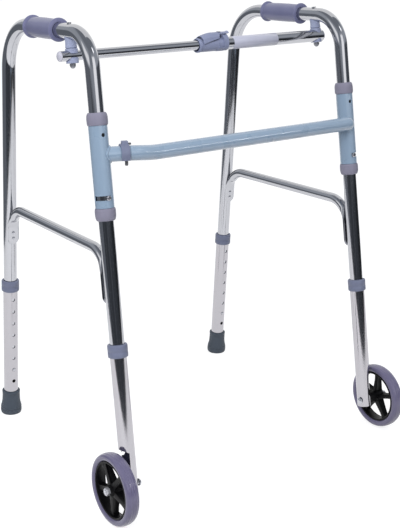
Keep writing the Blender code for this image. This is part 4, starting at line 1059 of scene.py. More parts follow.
# Rubber feet. Each rear extension stands in a moulded rubber cup with a flared skirt, two grip rings
# above the tread and a flat sole.
foot_height = 0.050
foot_diameter = 0.042
foot_top_diameter = 0.035
foot_floor = 0.02
foot_play = 0.0002
slate_rubber = mottled_finish("slate_rubber", (76, 85, 96), (64, 72, 84), patch=70.0, grain=500.0,
                              roughness=0.52, drift=0.18, bump=0.45)
wide = foot_diameter / 2
slim = foot_top_diameter / 2
bore = extension_diameter / 2 + foot_play
for name, leg in rear_legs.items():
    top = up_leg(leg, foot_height)
    # Sole, tread, first grip ring, second grip ring, skirt, wall, lip and the hollow for the tube.
    profile = [(0.0, -0.0015), (wide * 0.86, -0.0015), (wide * 0.94, 0.0006), (wide * 0.985, 0.003),
               (wide, 0.0058), (wide, 0.0095), (wide - 0.0007, 0.0101), (wide - 0.0007, 0.0111),
               (wide * 0.99, 0.0117), (wide * 0.985, 0.0148), (wide * 0.95, 0.0154), (wide * 0.945, 0.0164),
               (wide * 0.955, 0.0172), (wide * 0.90, 0.021), (slim * 1.02, 0.028), (slim * 1.005, 0.036),
               (slim, top - 0.0045), (slim + 0.0004, top - 0.004), (slim + 0.0004, top - 0.0014),
               (slim - 0.0004, top - 0.0003), (slim - 0.0014, top), (bore, top), (bore, foot_floor),
               (0.0, foot_floor)]
    shape = lathe(profile, leg)
    bmesh.ops.remove_doubles(shape, verts=shape.verts, dist=1e-7)
    everything = list(shape.verts) + list(shape.edges) + list(shape.faces)
    bmesh.ops.bisect_plane(shape, geom=everything, plane_co=(0.0, 0.0, 0.0), plane_no=(0.0, 0.0, 1.0),
                           clear_inner=True)
    bmesh.ops.holes_fill(shape, edges=[edge for edge in shape.edges if edge.is_boundary])
    foot = as_piece("rubber_foot_" + name, shape, 45)
    dress(foot, slate_rubber, name + "_rear_leg", "slate_rubber", name + "_foot")


# Brackets. Under each handle a moulded post and two saddles carry the upper bar on one long polished
# bolt, which passes through handle, post and bar and ends in an acorn nut.
bolt_sides = 36
bolt_diameter = 0.006
bolt_head_diameter = 0.0095
bolt_head_height = 0.0009
bolt_head_wall = 0.0006
bolt_head_turns = (0.1, 0.4, 0.7, 1.0, 1.3)
post_diameter = 0.020
post_waist = 0.93
saddle_diameter = 0.021
saddle_crown = 0.003
saddle_drop = 0.0125
saddle_split = 0.0032
seat_reach = 0.03
acorn_flats = 0.010
acorn_height = 0.0045
acorn_dome = 0.004
acorn_dome_share = 0.46
acorn_dome_turns = (0.05, 0.3, 0.6, 0.9, 1.2, 1.4)
nut_chamfer = 0.97
bar_radii = {"right": 0.0086, "left": 0.0114}
bar_bodies = {"right": "inner_bar", "left": "outer_bar"}
bar_start_aside = 0.001665
pale_lilac = mottled_finish("pale_lilac_nylon", (160, 168, 196), (148, 156, 186), patch=60.0, grain=1500.0,
                            roughness=0.38, drift=0.12, bump=0.10)
dull_zinc = mottled_finish("dull_zinc", (176, 178, 184), (120, 122, 130), patch=400.0, grain=2400.0,
                           roughness=0.34, drift=0.16, bump=0.20, metallic=0.8)
bolts = {name: Vector(joints[name + "_bar_pivot"]["pos_m"]) for name in sides}
bolt_span = bolts["left"] - bolts["right"]
upright = Vector((0.0, 0.0, 1.0))
upper_run = (Matrix.Rotation(-math.asin(bar_start_aside / bolt_span.length), 3, "Z")
             @ Vector((bolt_span.x, bolt_span.y, 0.0)))
upper_run.normalize()
bar_axes = {}
bar_lines = {}
for name in sides:
    axes = Matrix((upper_run, upright.cross(upper_run), upright)).transposed().to_4x4()
    axes.translation = bolts[name]
    bar_axes[name] = axes
    bar_lines[name] = axes @ along((0.0, 0.0, 0.0), (1.0, 0.0, 0.0), (0.0, 1.0, 0.0))


def hexagon(radius_to_flat, low, high, axes, crown):
    """A hexagon nut's body, with its outer corners chamfered to a round."""
    corner = radius_to_flat / math.cos(math.pi / 6)
    sections = []
    for height, limit in ((low, corner), (high - crown, corner), (high, radius_to_flat * nut_chamfer)):
        section = []
        for turn in once_round(bolt_sides):
            off = (turn + math.pi / 6) % (math.pi / 3) - math.pi / 6
            reach = min(radius_to_flat / math.cos(math.pi / 6 - abs(off)), limit)
            section.append(polar(axes, reach, turn, height))
        sections.append(section)
    return loft(sections)


handle_start = in_plane(handle_line[0].x, handle_line[0].y)
further = handle_line[0] + handle_line[1]
slope = in_plane(further.x, further.y) - handle_start
tilt = math.pi / 2 - slope.angle(Vector((0.0, 0.0, 1.0)))
shank = bolt_diameter / 2
bolt_hole = shank + clearance
head = bolt_head_diameter / 2
post = post_diameter / 2
saddle = saddle_diameter / 2
handle_seat = leg_radius + clearance
nut_top = -saddle_drop - clearance
nut_bottom = nut_top - acorn_height
for name in sides:
    up_bolt = Vector(joints[name + "_bar_pivot"]["axis"]) * -sides[name]
    on_bolt = along(bolts[name], up_bolt, hinge_axes[name].to_3x3().col[0])
    local_bolt = hinge_axes[name].inverted() @ bolts[name]
    crossing = handle_start + slope * (local_bolt.y - handle_start.y) / slope.y
    over = crossing.z - local_bolt.z
    crown = bar_radii[name] + saddle_crown + clearance
    post_top = over - math.sqrt(handle_seat ** 2 - post ** 2)
    profile = [(bolt_hole, crown), (post - 0.0012, crown), (post, crown + 0.0012),
               (post * post_waist, crown + (post_top - crown) * 0.4),
               (post * post_waist, crown + (post_top - crown) * 0.6),
               (post, post_top - 0.001), (post, post_top), (bolt_hole, post_top)]
    piece = as_piece("bracket_post_" + name, lathe(profile, on_bolt, ring=True))
    drill(piece, hinge_axes[name] @ along(crossing, slope), handle_seat, -seat_reach, seat_reach, tube_sides)
    dress(piece, pale_lilac, name + "_frame", "pale_lilac_plastic", name + "_bracket_post")
    for place, low, high in (("upper", saddle_split, crown - clearance),
                             ("lower", -saddle_drop, -saddle_split)):
        profile = [(bolt_hole, low), (saddle - 0.0005, low), (saddle, low + 0.0005), (saddle, high - 0.0005),
                   (saddle - 0.0005, high), (bolt_hole, high)]
        piece = as_piece("bar_saddle_" + name + "_" + place, lathe(profile, on_bolt, ring=True))
        drill(piece, bar_lines[name], bar_radii[name] + clearance, -seat_reach, seat_reach, tube_sides)
        dress(piece, pale_lilac, bar_bodies[name], "pale_lilac_plastic", name + "_" + place + "_saddle")
    head_seat = over + leg_radius / math.cos(tilt) + head * abs(math.tan(tilt)) + clearance
    profile = [(shank, nut_bottom), (shank, head_seat), (head - 0.0004, head_seat),
               (head, head_seat + 0.0004)]
    profile += domed(head, head_seat + bolt_head_wall, bolt_head_height - bolt_head_wall, bolt_head_turns)
    profile.append((0.0, head_seat + bolt_head_height))
    piece = as_piece("bracket_bolt_" + name, lathe(profile, on_bolt, around=bolt_sides))
    dress(piece, polished_tube, name + "_frame", "zinc_steel", name + "_bracket_bolt")
    down = on_bolt @ Matrix.Rotation(math.pi, 4, "X")
    piece = as_piece("acorn_" + name, hexagon(acorn_flats / 2, -nut_top, -nut_bottom, down, 0.0006))
    acorn = acorn_flats * acorn_dome_share
    profile = [(acorn, -nut_bottom - 0.001)]
    profile += domed(acorn, -nut_bottom - 0.0002, acorn_dome, acorn_dome_turns)
    profile.append((0.0, -nut_bottom + acorn_dome - 0.0002))
    join(piece, lathe(profile, down, around=bolt_sides))
    dress(piece, dull_zinc, name + "_frame", "zinc_steel", name + "_acorn_nut")


# Upper bar. Two polished tubes slide in one another and are closed by domed end plugs. A plain pale
# wrap lies round the outer tube, with nothing printed on it.
bar_reaches = {"right": (-0.023, 0.380), "left": (-0.278, 0.012)}
bar_walls = {"right": 0.0010, "left": 0.0008}
bar_nodes = {"right": "upper_bar_inner_tube", "left": "upper_bar_outer_tube"}
bar_edge = 0.0002
plug_thickness = 0.0045
plug_depth = 0.006
plug_wall = 0.0006
plug_turns = (0.1, 0.35, 0.6, 0.85, 1.1, 1.35)
wrap_reach = (-0.216, -0.108)
wrap_thickness = 0.00015
wrap_edge = 0.00002
milky_plug = mottled_finish("milky_plug", (206, 206, 218), (176, 176, 192), patch=260.0, grain=900.0,
                            roughness=0.14, drift=0.10, bump=0.5, coat=0.8)
plain_wrap = mottled_finish("plain_wrap", (187, 189, 207), (179, 181, 199), patch=80.0, grain=1200.0,
                            roughness=0.22, drift=0.06, bump=0.03, coat=0.3)
for name, (start, end) in bar_reaches.items():
    radius = bar_radii[name]
    bore = radius - bar_walls[name]
    profile = [(bore, start), (radius - bar_edge, start), (radius, start + bar_edge),
               (radius, end - bar_edge), (radius - bar_edge, end), (bore, end)]
    tube = as_piece("upper_tube_" + name, lathe(profile, bar_lines[name], ring=True))
    dress(tube, polished_tube, bar_bodies[name], "polished_tube", bar_nodes[name])
    mouth, way = (start, -1.0) if name == "right" else (end, 1.0)
    outward = bar_lines[name] @ along((0.0, 0.0, mouth), (0.0, 0.0, way))
    profile = [(bore - clearance, -plug_depth), (bore - clearance, 0.0002), (radius, 0.0002)]
    profile += domed(radius, plug_wall, plug_thickness - plug_wall, plug_turns)
    profile.append((0.0, plug_thickness))
    plug = as_piece("bar_end_plug_" + name, lathe(profile, outward))
    dress(plug, milky_plug, bar_bodies[name], "zinc_steel", name + "_bar_plug")
radius = bar_radii["left"]
start, end = wrap_reach
profile = [(radius + wrap_edge, start), (radius + wrap_thickness, start + bar_edge),
           (radius + wrap_thickness, end - bar_edge), (radius + wrap_edge, end)]
wrap = as_piece("plain_bar_wrap", lathe(profile, bar_lines["left"], ring=True))
dress(wrap, plain_wrap, "outer_bar", "polished_tube")


# Bar lock. A moulded sleeve is pushed on the outer tube's mouth, with a window between its body and its
# end ring. A lever with a finger lip lies over it and lifts a sprung steel pin.
lock_left_end = -0.297
lock_body_end = -0.2515
lock_ring = (-0.241, -0.230)
lock_lip_end = -0.2265
lock_tube_stop = -0.2783
lock_sleeve_radius = 0.0128
lock_mouth_radius = 0.0109
lock_crown = 0.0215
lock_shoulder = 0.0135
lock_rise_length = 0.034
lock_roof = (0.0168, 0.0180)
lock_roof_half_width = 0.0044
lock_rail = (0.0117, 0.0126)
lock_rail_half_width = 0.0045
lock_rail_lap = 0.0025
lock_pin_place = -0.2463
lock_pin_hole_radius = 0.0026
lock_pin_hole_top = 0.022
lever_start = -0.289
lever_thickness = 0.0012
lever_hole_radius = 0.0033
lever_hole_reach = (0.01, 0.03)
lever_window_lead = 0.001
lever_window_blend = 0.004
lever_stations = 36
lever_arc_steps = 20
lever_wrap = (78, 22)
lever_window_wrap = 27
lever_ridge_height = 0.0007
lever_ridge_turn = 48
lever_ridge_spread = 0.10
lever_lip_lift = 0.0012
lever_pivot = Vector((-0.285, 0.0, 0.0133))
lever_pivot_half_length = 0.00725
lever_pivot_radius = 0.0011
spring_turns = 3.0
spring_coil_radius = 0.0032
spring_wire_radius = 0.0003
lock_indigo = mottled_finish("lock_indigo_nylon", (138, 145, 174), (124, 132, 162), patch=60.0, grain=1500.0,
                             roughness=0.34, drift=0.12, bump=0.10)
left_bar = bar_axes["left"]
left_line = bar_lines["left"]
body = lock_sleeve_radius
tube_bore = bar_radii["left"] + 0.0002
# Radius and place along the bar: rounded mouth, end band, slimmer wall, second band and the tube's seat.
profile = [(lock_mouth_radius, lock_left_end), (body - 0.0018, lock_left_end),
           (body - 0.0006, lock_left_end + 0.0004), (body, lock_left_end + 0.0014),
           (body, lock_left_end + 0.005), (body - 0.0006, lock_left_end + 0.0056),
           (body - 0.0006, lock_body_end - 0.001),
           (body, lock_body_end - 0.0006), (body, lock_body_end), (tube_bore, lock_body_end),
           (tube_bore, lock_tube_stop), (lock_mouth_radius, lock_tube_stop)]
housing = as_piece("lock_body", lathe(profile, left_line, ring=True))
ring_turns = [(turn, lock_roof[1] if corner < tube_sides / 2 else body)
              for corner, turn in enumerate(once_round(tube_sides))]
join(housing, loft([[left_bar @ Vector((place, body * math.cos(turn), tall * math.sin(turn)))
                     for turn, tall in ring_turns] for place in lock_ring]))
for half_turns, half, (low, high) in ((0.0, lock_roof_half_width, lock_roof),
                                      (0.75, lock_rail_half_width, lock_rail),
                                      (1.25, lock_rail_half_width, lock_rail)):
    outline = box_outline(lock_body_end - lock_rail_lap, lock_ring[0] + lock_rail_lap, -half, half)
    turned = left_bar @ Matrix.Rotation(math.pi * half_turns, 4, "X")
    join(housing, extrude_outline(outline, low, high, turned))
outline = box_outline(lock_body_end - 0.0035, lock_body_end - 0.0003,
                      -lock_roof_half_width, lock_roof_half_width)
join(housing, extrude_outline(outline, body - 0.0012, lock_roof[1] - 0.0003, left_bar))
drill(housing, left_line, tube_bore, lock_tube_stop, lock_ring[1] + 0.01, tube_sides)
at_pin = left_bar @ Matrix.Translation((lock_pin_place, 0.0, 0.0))
drill(housing, at_pin, lock_pin_hole_radius, 0.0, lock_pin_hole_top)
dress(housing, lock_indigo, "outer_bar", "lilac_plastic", "lock_housing")


def clamped(value):
    """A value kept between 0 and 1."""
    return min(max(value, 0.0), 1.0)


def lock_top(place):
    """The lever's top line, rising in a quarter wave from the shoulder to the crown."""
    share = clamped((place - lock_left_end) / lock_rise_length)
    return lock_shoulder + (lock_crown - lock_shoulder) * math.sin(share * math.pi / 2)


def lever_section(place):
    """The lever's shell across the bar: deep over the body and narrow over the window, with two ridges."""
    over_window = clamped((place - lock_body_end + lever_window_lead) / lever_window_blend)
    share = min((place - lever_start) / (lock_body_end - lever_start), 1.0)
    reach = (math.radians(lever_wrap[0] - lever_wrap[1] * share) * (1 - over_window)
             + math.radians(lever_window_wrap) * over_window)
    lift = lever_lip_lift * clamped((place - lock_ring[1]) / (lock_lip_end - lock_ring[1]))
    top = lock_top(place) + lift
    wide = body + clearance + lever_thickness
    section = []
    for inset in (0.0, lever_thickness):
        arc = []
        for step in range(-lever_arc_steps, lever_arc_steps + 1):
            angle = reach * step / lever_arc_steps
            off_ridge = (abs(angle) - math.radians(lever_ridge_turn)) / lever_ridge_spread
            ridge = lever_ridge_height * math.exp(-off_ridge ** 2) * (1 - over_window)
            arc.append(left_bar @ Vector((place, (wide - inset + ridge) * math.sin(angle),
                                          (top - inset + ridge) * math.cos(angle))))
        section += arc if inset == 0.0 else arc[::-1]
    return section


places = [lever_start + (lock_lip_end - lever_start) * station / lever_stations
          for station in range(lever_stations + 1)]
lever = as_piece("lock_lever_shell", loft([lever_section(place) for place in places]), 50)
drill(lever, at_pin, lever_hole_radius, *lever_hole_reach, screw_sides)
dress(lever, lock_indigo, "lock_lever", "lilac_plastic", "lock_lever")
pivot_end = [(0.0, lever_pivot_half_length), (lever_pivot_radius - 0.0002, lever_pivot_half_length),
             (lever_pivot_radius, lever_pivot_half_length - 0.00025)]
profile = [(radius, -height) for radius, height in pivot_end] + pivot_end[::-1]
pivot_pin = as_piece("lever_pivot", lathe(profile, left_bar @ along(lever_pivot, (0.0, 1.0, 0.0)), around=20))
dress(pivot_pin, plated_steel, "outer_bar", "zinc_steel", "lever_pivot_pin")
paint(frame["nodes"]["lock_pin"], plated_steel)


def make_spring_tree(material):
    """A compression spring: round wire swept along a helix of a given number of turns."""
    tree, identifiers, given, wanted = open_tree(
        "coil_spring", {"Turns": "Float", "Coil Radius": "Float", "Height": "Float", "Wire Radius": "Float",
                        "Place": "Vector"})
    helix = add_node(tree, "GeometryNodeCurveSpiral", {"Resolution": 28})
    wire_round = add_node(tree, "GeometryNodeCurvePrimitiveCircle", {"Resolution": 10})
    drawn = add_node(tree, "GeometryNodeCurveToMesh", {"Fill Caps": True})
    move = add_node(tree, "GeometryNodeTransform")
    wire(tree,
         (given, "Turns", helix, "Rotations"),
         (given, "Coil Radius", helix, "Start Radius"),
         (given, "Coil Radius", helix, "End Radius"),
         (given, "Height", helix, "Height"),
         (given, "Wire Radius", wire_round, "Radius"),
         (helix, "Curve", drawn, "Curve"),
         (wire_round, "Curve", drawn, "Profile Curve"),
         (drawn, "Mesh", move, "Geometry"),
         (given, "Place", move, "Translation"))
    close_tree(tree, move, "Geometry", wanted, material)
    return tree, identifiers


spring_low, spring_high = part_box("lock_spring")
spring_height = spring_high.z - spring_low.z
pin_foot = left_bar @ Vector((lock_pin_place, 0.0, 0.0))
spring = grow("lock_pin_spring", make_spring_tree(plated_steel),
              {"Turns": spring_turns, "Coil Radius": spring_coil_radius,
               "Height": spring_height - 2 * spring_wire_radius, "Wire Radius": spring_wire_radius,
               "Place": Vector((pin_foot.x, pin_foot.y, spring_low.z + spring_wire_radius))})
dress(spring, plated_steel, "outer_bar", "zinc_steel", "lock_spring")
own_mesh(spring)


# Wheels. A black moulded core with five spokes carries a lilac tyre of soft polyurethane, moulded on.
# Each turns on a plated bolt that runs through the cut-away end of the front extension.
wheel_sides = 96
wheel_diameter = 0.127
wheel_width = 0.024
wheel_inner_face = 0.0195
tyre_depth = 0.0132
tyre_seat_share = 0.72
tyre_steps = 72
tyre_turns = (-24, 228)
tyre_squareness = 0.8
tread_groove = 0.0006
tread_groove_waves = 2.5
rim_depth = 0.0045
rim_share = 0.80
hub_diameter = 0.023
hub_outboard = 0.0435
hub_inboard = 0.0033
hub_bore = 0.0045
spoke_count = 5
spoke_start = math.pi / 10
spoke_flange_flat = 0.35
spoke_flange_crown = 1.05
spoke_web = (0.45, 0.2)
axle_diameter = 0.0079
axle_head_diameter = 0.013
axle_head_height = 0.005
axle_head_wall = 0.0010
axle_head_turns = (1.35, 1.1, 0.85, 0.6, 0.35, 0.1)
axle_nut_flats = 0.0125
axle_nut_height = 0.0065
fork_plug_top = 0.099
fork_plug_edge = 0.0008
lilac_tyre = mottled_finish("lilac_tyre", (108, 104, 132), (97, 93, 122), patch=35.0, grain=900.0,
                            roughness=0.20, drift=0.08, bump=0.05, coat=0.3, shine=0.35)
black_core = mottled_finish("black_core", (13, 13, 15), (8, 8, 10), patch=50.0, grain=1300.0,
                            roughness=0.36, drift=0.14, bump=0.12, shine=0.15)
bright_zinc = mottled_finish("bright_zinc", (216, 216, 222), (178, 180, 188), patch=400.0, grain=2400.0,
                             roughness=0.24, drift=0.16, bump=0.20, metallic=0.6)


def make_spoke_tree(material):
    """Spokes set round a hub: one spoke repeated at equal turns, then put in its place."""
    tree, identifiers, given, wanted = open_tree(
        "wheel_spokes", {"Spoke": "Geometry", "Count": "Int", "Place": "Vector", "Turn": "Rotation"})
    points = add_node(tree, "GeometryNodePoints")
    index = add_node(tree, "GeometryNodeInputIndex")
    share = add_node(tree, "ShaderNodeMath", operation="DIVIDE")
    angle = add_node(tree, "ShaderNodeMath", {1: 2 * math.pi, 2: spoke_start}, operation="MULTIPLY_ADD")
    turn = add_node(tree, "ShaderNodeCombineXYZ")
    copies = add_node(tree, "GeometryNodeInstanceOnPoints")
    solid = add_node(tree, "GeometryNodeRealizeInstances")
    move = add_node(tree, "GeometryNodeTransform")
    wire(tree,
         (given, "Count", points, "Count"),
         (index, "Index", share, 0),
         (given, "Count", share, 1),
         (share, "Value", angle, 0),
         (angle, "Value", turn, "Z"),
         (points, "Points", copies, "Points"),
         (given, "Spoke", copies, "Instance"),
         (turn, "Vector", copies, "Rotation"),
         (copies, "Instances", solid, "Geometry"),
         (solid, "Geometry", move, "Geometry"),
         (given, "Place", move, "Translation"),
         (given, "Turn", move, "Rotation"))
    close_tree(tree, move, "Geometry", wanted, material)
    return tree, identifiers


def spoke_section(reach, wide, deep):
    """A spoke's I-shaped section at a reach from the axle: two flanges joined by a thinner web."""
    flat = wide * spoke_flange_flat
    crown = deep * spoke_flange_crown
    web = wide * spoke_web[0]
    root = deep * spoke_web[1]
    upper = [(web, root), (wide, deep), (flat, crown), (-flat, crown), (-wide, deep), (-web, root)]
    lower = [(-across, -rise) for across, rise in upper]
    corners = lower[1:] + upper + lower[:1]
    return [Vector((reach, across, wheel_middle + rise)) for across, rise in corners]


spoke_recipe = make_spoke_tree(black_core)
wheel_middle = wheel_inner_face + wheel_width / 2
half = wheel_width / 2
seat = wheel_diameter / 2 - tyre_depth
tyre_profile = [(seat + clearance, wheel_middle - half * tyre_seat_share),
                (seat + clearance, wheel_middle + half * tyre_seat_share)]
for step in range(tyre_steps + 1):
    turn = math.radians(tyre_turns[0] + tyre_turns[1] * step / tyre_steps)
    rise = math.copysign(abs(math.sin(turn)) ** tyre_squareness, math.sin(turn))
    wide = math.copysign(abs(math.cos(turn)) ** tyre_squareness, math.cos(turn))
    groove = tread_groove * math.sin(tread_groove_waves * math.pi * wide) ** 2 * max(rise, 0.0)
    tyre_profile.append((seat + tyre_depth * (0.45 + 0.55 * rise) - groove, wheel_middle + half * wide))
rim_inner = seat - rim_depth
rim_half = half * rim_share
rim_low = wheel_middle - rim_half
rim_high = wheel_middle + rim_half
rim_profile = [(seat, rim_low), (seat, rim_high), (seat - 0.0016, rim_high + 0.0006),
               (rim_inner + 0.0012, rim_high), (rim_inner + 0.0004, wheel_middle + rim_half * 0.5),
               (rim_inner, wheel_middle), (rim_inner + 0.0004, wheel_middle - rim_half * 0.5),
               (rim_inner + 0.0012, rim_low), (seat - 0.0016, rim_low - 0.0006)]
# Reach from the axle, half width and half depth of a spoke from the hub out to the rim.
spoke_sizes = ((hub_diameter * 0.36, 0.0056, 0.0080), (0.022, 0.0046, 0.0068), (0.034, 0.0040, 0.0058),
               (rim_inner - 0.003, 0.0042, 0.0056), (rim_inner + rim_depth * 0.5, 0.0064, 0.0060))
hub = hub_diameter / 2
hub_profile = [(hub_bore, hub_inboard), (hub * 0.76, hub_inboard), (hub * 0.80, hub_inboard + 0.0006),
               (hub * 0.98, wheel_middle - rim_half * 0.8), (hub, wheel_middle - rim_half * 0.5),
               (hub, wheel_middle + rim_half * 0.6), (hub * 0.94, wheel_middle + rim_half * 0.8),
               (hub * 0.80, hub_outboard - 0.0008), (hub * 0.76, hub_outboard), (hub_bore, hub_outboard)]
head = axle_head_diameter / 2
shank = axle_diameter / 2
head_seat = -extension_diameter / 2 - clearance
nut_low = hub_outboard + clearance
bolt_end = nut_low + axle_nut_height + 0.001
bolt_profile = [(0.0, head_seat - axle_head_height)]
bolt_profile += domed(head, head_seat - axle_head_wall, axle_head_wall - axle_head_height, axle_head_turns)
bolt_profile += [(head, head_seat - 0.0004), (head - 0.0004, head_seat), (shank, head_seat),
                 (shank, bolt_end - 0.0006), (shank - 0.0006, bolt_end), (0.0, bolt_end)]
plug_radius = extension_diameter / 2 - extension_wall - clearance
for name in sides:
    spin = joints[name + "_wheel_spin"]
    outboard = Vector(spin["axis"]).normalized()
    axle = along(Vector(spin["pos_m"]) - outboard * wheel_middle, outboard, (0.0, 1.0, 0.0))
    tyre = as_piece("wheel_tyre_" + name, lathe(tyre_profile, axle, ring=True, around=wheel_sides), 50)
    dress(tyre, lilac_tyre, name + "_wheel", "lilac_tyre", name + "_tyre")
    core = as_piece("wheel_core_moulding_" + name, lathe(rim_profile, axle, ring=True, around=wheel_sides))
    spoke = as_piece("spokes", loft([spoke_section(*size) for size in spoke_sizes]))
    spokes = grow("spokes", spoke_recipe,
                  {"Count": spoke_count, "Place": axle.translation, "Turn": axle.to_euler()}, start=spoke)
    combine(core, spokes, "UNION")
    join(core, lathe(hub_profile, axle, ring=True))
    drill(core, axle, hub_bore, hub_inboard - 0.01, hub_outboard + 0.01, tube_sides)
    dress(core, black_core, name + "_wheel", "black_plastic", name + "_wheel_core")
    bolt = as_piece("axle_bolt_" + name, lathe(bolt_profile, axle, around=bolt_sides))
    dress(bolt, plated_steel, name + "_front_leg", "zinc_steel", name + "_axle_bolt")
    nut = as_piece("axle_nut_" + name,
                   hexagon(axle_nut_flats / 2, nut_low, nut_low + axle_nut_height, axle, 0.001))
    drill(nut, axle, shank + 0.0002, nut_low - 0.01, nut_low + 0.02, screw_sides)
    dress(nut, bright_zinc, name + "_front_leg", "zinc_steel", name + "_axle_nut")
    leg = front_legs[name]
    low = up_leg(leg, extension_ends["front"][0]) + clearance
    high = up_leg(leg, fork_plug_top)
    profile = [(plug_radius - fork_plug_edge, low), (plug_radius, low + fork_plug_edge),
               (plug_radius, high - fork_plug_edge), (plug_radius - fork_plug_edge, high)]
    plug = as_piece("fork_plug_moulding_" + name, lathe(profile, leg))
    reach = extension_diameter
    cut_beside_wheel(plug, name, low - reach, low + 4 * reach, low + 4 * reach, reach)
    drill(plug, axle, axle_hole_diameter / 2, -0.05, 0.05)
    # The fork plug takes the dark painted shade of the bore, so the cut-away looks shaded inside.
    dress(plug, painted_shade_bore, name + "_front_leg", "lilac_plastic", name + "_fork_plug")


# Studio. A white paper floor and a white surround light the frame softly from all round. Round the
# camera's side stands the darker studio room, with two pale windows and a grey ceiling. The camera
# doesn't see it: it shows only as the streaks that polished tube mirrors.
floor_radius = 40.0
floor_drop = 0.0005
floor_lift = 0.76
paper_colour = (0.42, 0.42, 0.43, 1.0)
paper_radius = 1.5
paper_spread = (20, 55, 0.35)
world_strength = 0.62
world_colour = (0.98, 0.99, 1.0, 1.0)
key_size = 1.0
# Where each soft lamp hangs, and its power.
softboxes = {"key_softbox": ((-1.7, -1.3, 1.5), 30.0), "top_softbox": ((0.3, -1.0, 2.6), 12.0)}
softbox_target = Vector((0.0, 0.0, 0.4))
strip_place = Vector((1.85, -2.2, 1.17))
strip_target = Vector((0.0, -0.2, 0.6))
strip_across = Vector((0.8, 0.6, 0.0))
strip_size = (0.9, 0.08)
strip_power = 6.0
room_radius = 4.5
room_middle = 0.5
room_half_turn = 132
room_step = 2
room_lowest_rise = -4
room_tint = (-0.10, 0.16)
camera_place = Vector((-1.1881, -1.69699, 1.0231))
camera_yaw = 0.6186
camera_pitch = 0.3181
camera_roll = 0.0196
camera_focal = 1129.5
picture_width = 400
sensor_width = 36.0
# Each card is a patch of the room: from and to in turn (degrees to the camera's right), from and to in
# rise (degrees above level), how soft its edge is, and how bright it is.
room_cards = (
    (-180, 180, -90, 90, 1, 0.48),
    (-180, 180, 46, 90, 14, 0.26),
    (-180, 180, -90, 9, 3, 0.19),
    (62, 126, 2, 16, 4, 0.10),
    (-50, 180, -90, 5, 3, 0.062),
    (66, 126, -90, 2, 4, 0.030),
    (-80, -30, 13, 32, 6, 1.25),
    (-24, 8, 14, 50, 12, 0.30),
    (14, 54, 8, 40, 4, 1.40),
    (62, 78, 46, 58, 2, 3.0),
    (8, 14, -6, 4, 2, 0.14),
    (-30, -26, -8, 4, 1, 0.13),
)


def edge_share(value, low, high, soft):
    """How far a value lies inside a range whose edges are soft, from 0 to 1."""
    return clamped(min(value - low, high - value) / soft + 0.5)


def paper_edge(turn):
    """How far the white paper reaches, which is further to the camera's right."""
    start, length, growth = paper_spread
    return paper_radius * (1 + growth * clamped((turn - start) / length))


def room_tone(turn, rise):
    """The room's colour in one direction: darker places are a little bluer."""
    tone = 0.0
    for left, right, low, high, soft, bright in room_cards:
        share = edge_share(turn, left, right, soft) * edge_share(rise, low, high, soft)
        tone += (bright - tone) * share
    cool = max(1.0 - tone, 0.0)
    return (tone * (1 + room_tint[0] * cool), tone, tone * (1 + room_tint[1] * cool), 1.0)


def add_seen_share(tree):
    """A node that gives 1 for camera, glossy and transmission rays, and 0 for the rays that light."""
    rays = add_node(tree, "ShaderNodeLightPath")
    direct = add_node(tree, "ShaderNodeMath", operation="MAXIMUM")
    through = add_node(tree, "ShaderNodeMath", operation="MAXIMUM")
    wire(tree,
         (rays, "Is Camera Ray", direct, 0),
         (rays, "Is Glossy Ray", direct, 1),
         (direct, "Value", through, 0),
         (rays, "Is Transmission Ray", through, 1))
    return through


def put_in_scene(name, data, placed):
    """Makes an object of a lamp or a camera, at its place."""
    made = bpy.data.objects.new(name, data)
    made.matrix_world = placed
    bpy.context.scene.collection.objects.link(made)
    return made


floor_shape = lathe([(0.0, -floor_drop), (paper_radius, -floor_drop), (floor_radius, -floor_drop)], Matrix(),
                    around=64)
bmesh.ops.delete(floor_shape, geom=[face for face in floor_shape.faces if len(face.verts) > 4],
                 context="FACES_ONLY")
floor = as_piece("studio_floor", floor_shape)
paper, tree, shader = open_material("white_paper_floor")
set_sockets(shader, {"Base Color": paper_colour, "Roughness": 0.9, "Specular IOR Level": 0.1})
glow = add_node(tree, "ShaderNodeEmission", {"Strength": floor_lift})
lifted = add_node(tree, "ShaderNodeAddShader")
seen = add_node(tree, "ShaderNodeMixShader")
wire(tree,
     (shader, "BSDF", lifted, 0),
     (glow, "Emission", lifted, 1),
     (add_seen_share(tree), "Value", seen, "Fac"),
     (shader, "BSDF", seen, 1),
     (lifted, "Shader", seen, 2),
     (seen, "Shader", tree.nodes["Material Output"], "Surface"))
paint(floor, paper)

room_shape = bmesh.new()
rows = []
tones = []
for turn in range(-room_half_turn, room_half_turn + 1, room_step):
    heading = math.radians(turn) + math.pi / 2 - camera_yaw
    outward = Vector((-math.cos(heading), -math.sin(heading), 0.0))
    row = [room_shape.verts.new(outward * paper_edge(turn)), room_shape.verts.new(outward * room_radius)]
    tones += [room_tone(turn, 2 * room_lowest_rise), room_tone(turn, room_lowest_rise)]
    for rise in range(room_lowest_rise, 91, room_step):
        slope = math.radians(rise)
        upward = Vector((0.0, 0.0, room_middle + room_radius * math.sin(slope)))
        row.append(room_shape.verts.new(outward * room_radius * math.cos(slope) + upward))
        tones.append(room_tone(turn, rise))
    rows.append(row)
for first, second in zip(rows, rows[1:]):
    for index in range(len(first) - 1):
        room_shape.faces.new((first[index], first[index + 1], second[index + 1], second[index]))
room_mesh = bpy.data.meshes.new("studio_room")
room_shape.to_mesh(room_mesh)
room_shape.free()
painted = room_mesh.color_attributes.new("tone", "FLOAT_COLOR", "POINT")
for index, tone in enumerate(tones):
    painted.data[index].color = tone
room = put_in_scene("studio_room", room_mesh, Matrix())
walls, tree, shader = open_material("studio_room_walls")
tree.nodes.clear()
tone = add_node(tree, "ShaderNodeAttribute", attribute_name="tone")
wall = add_node(tree, "ShaderNodeEmission")
open_air = add_node(tree, "ShaderNodeBsdfTransparent")
rays = add_node(tree, "ShaderNodeLightPath")
mirrored = add_node(tree, "ShaderNodeMixShader")
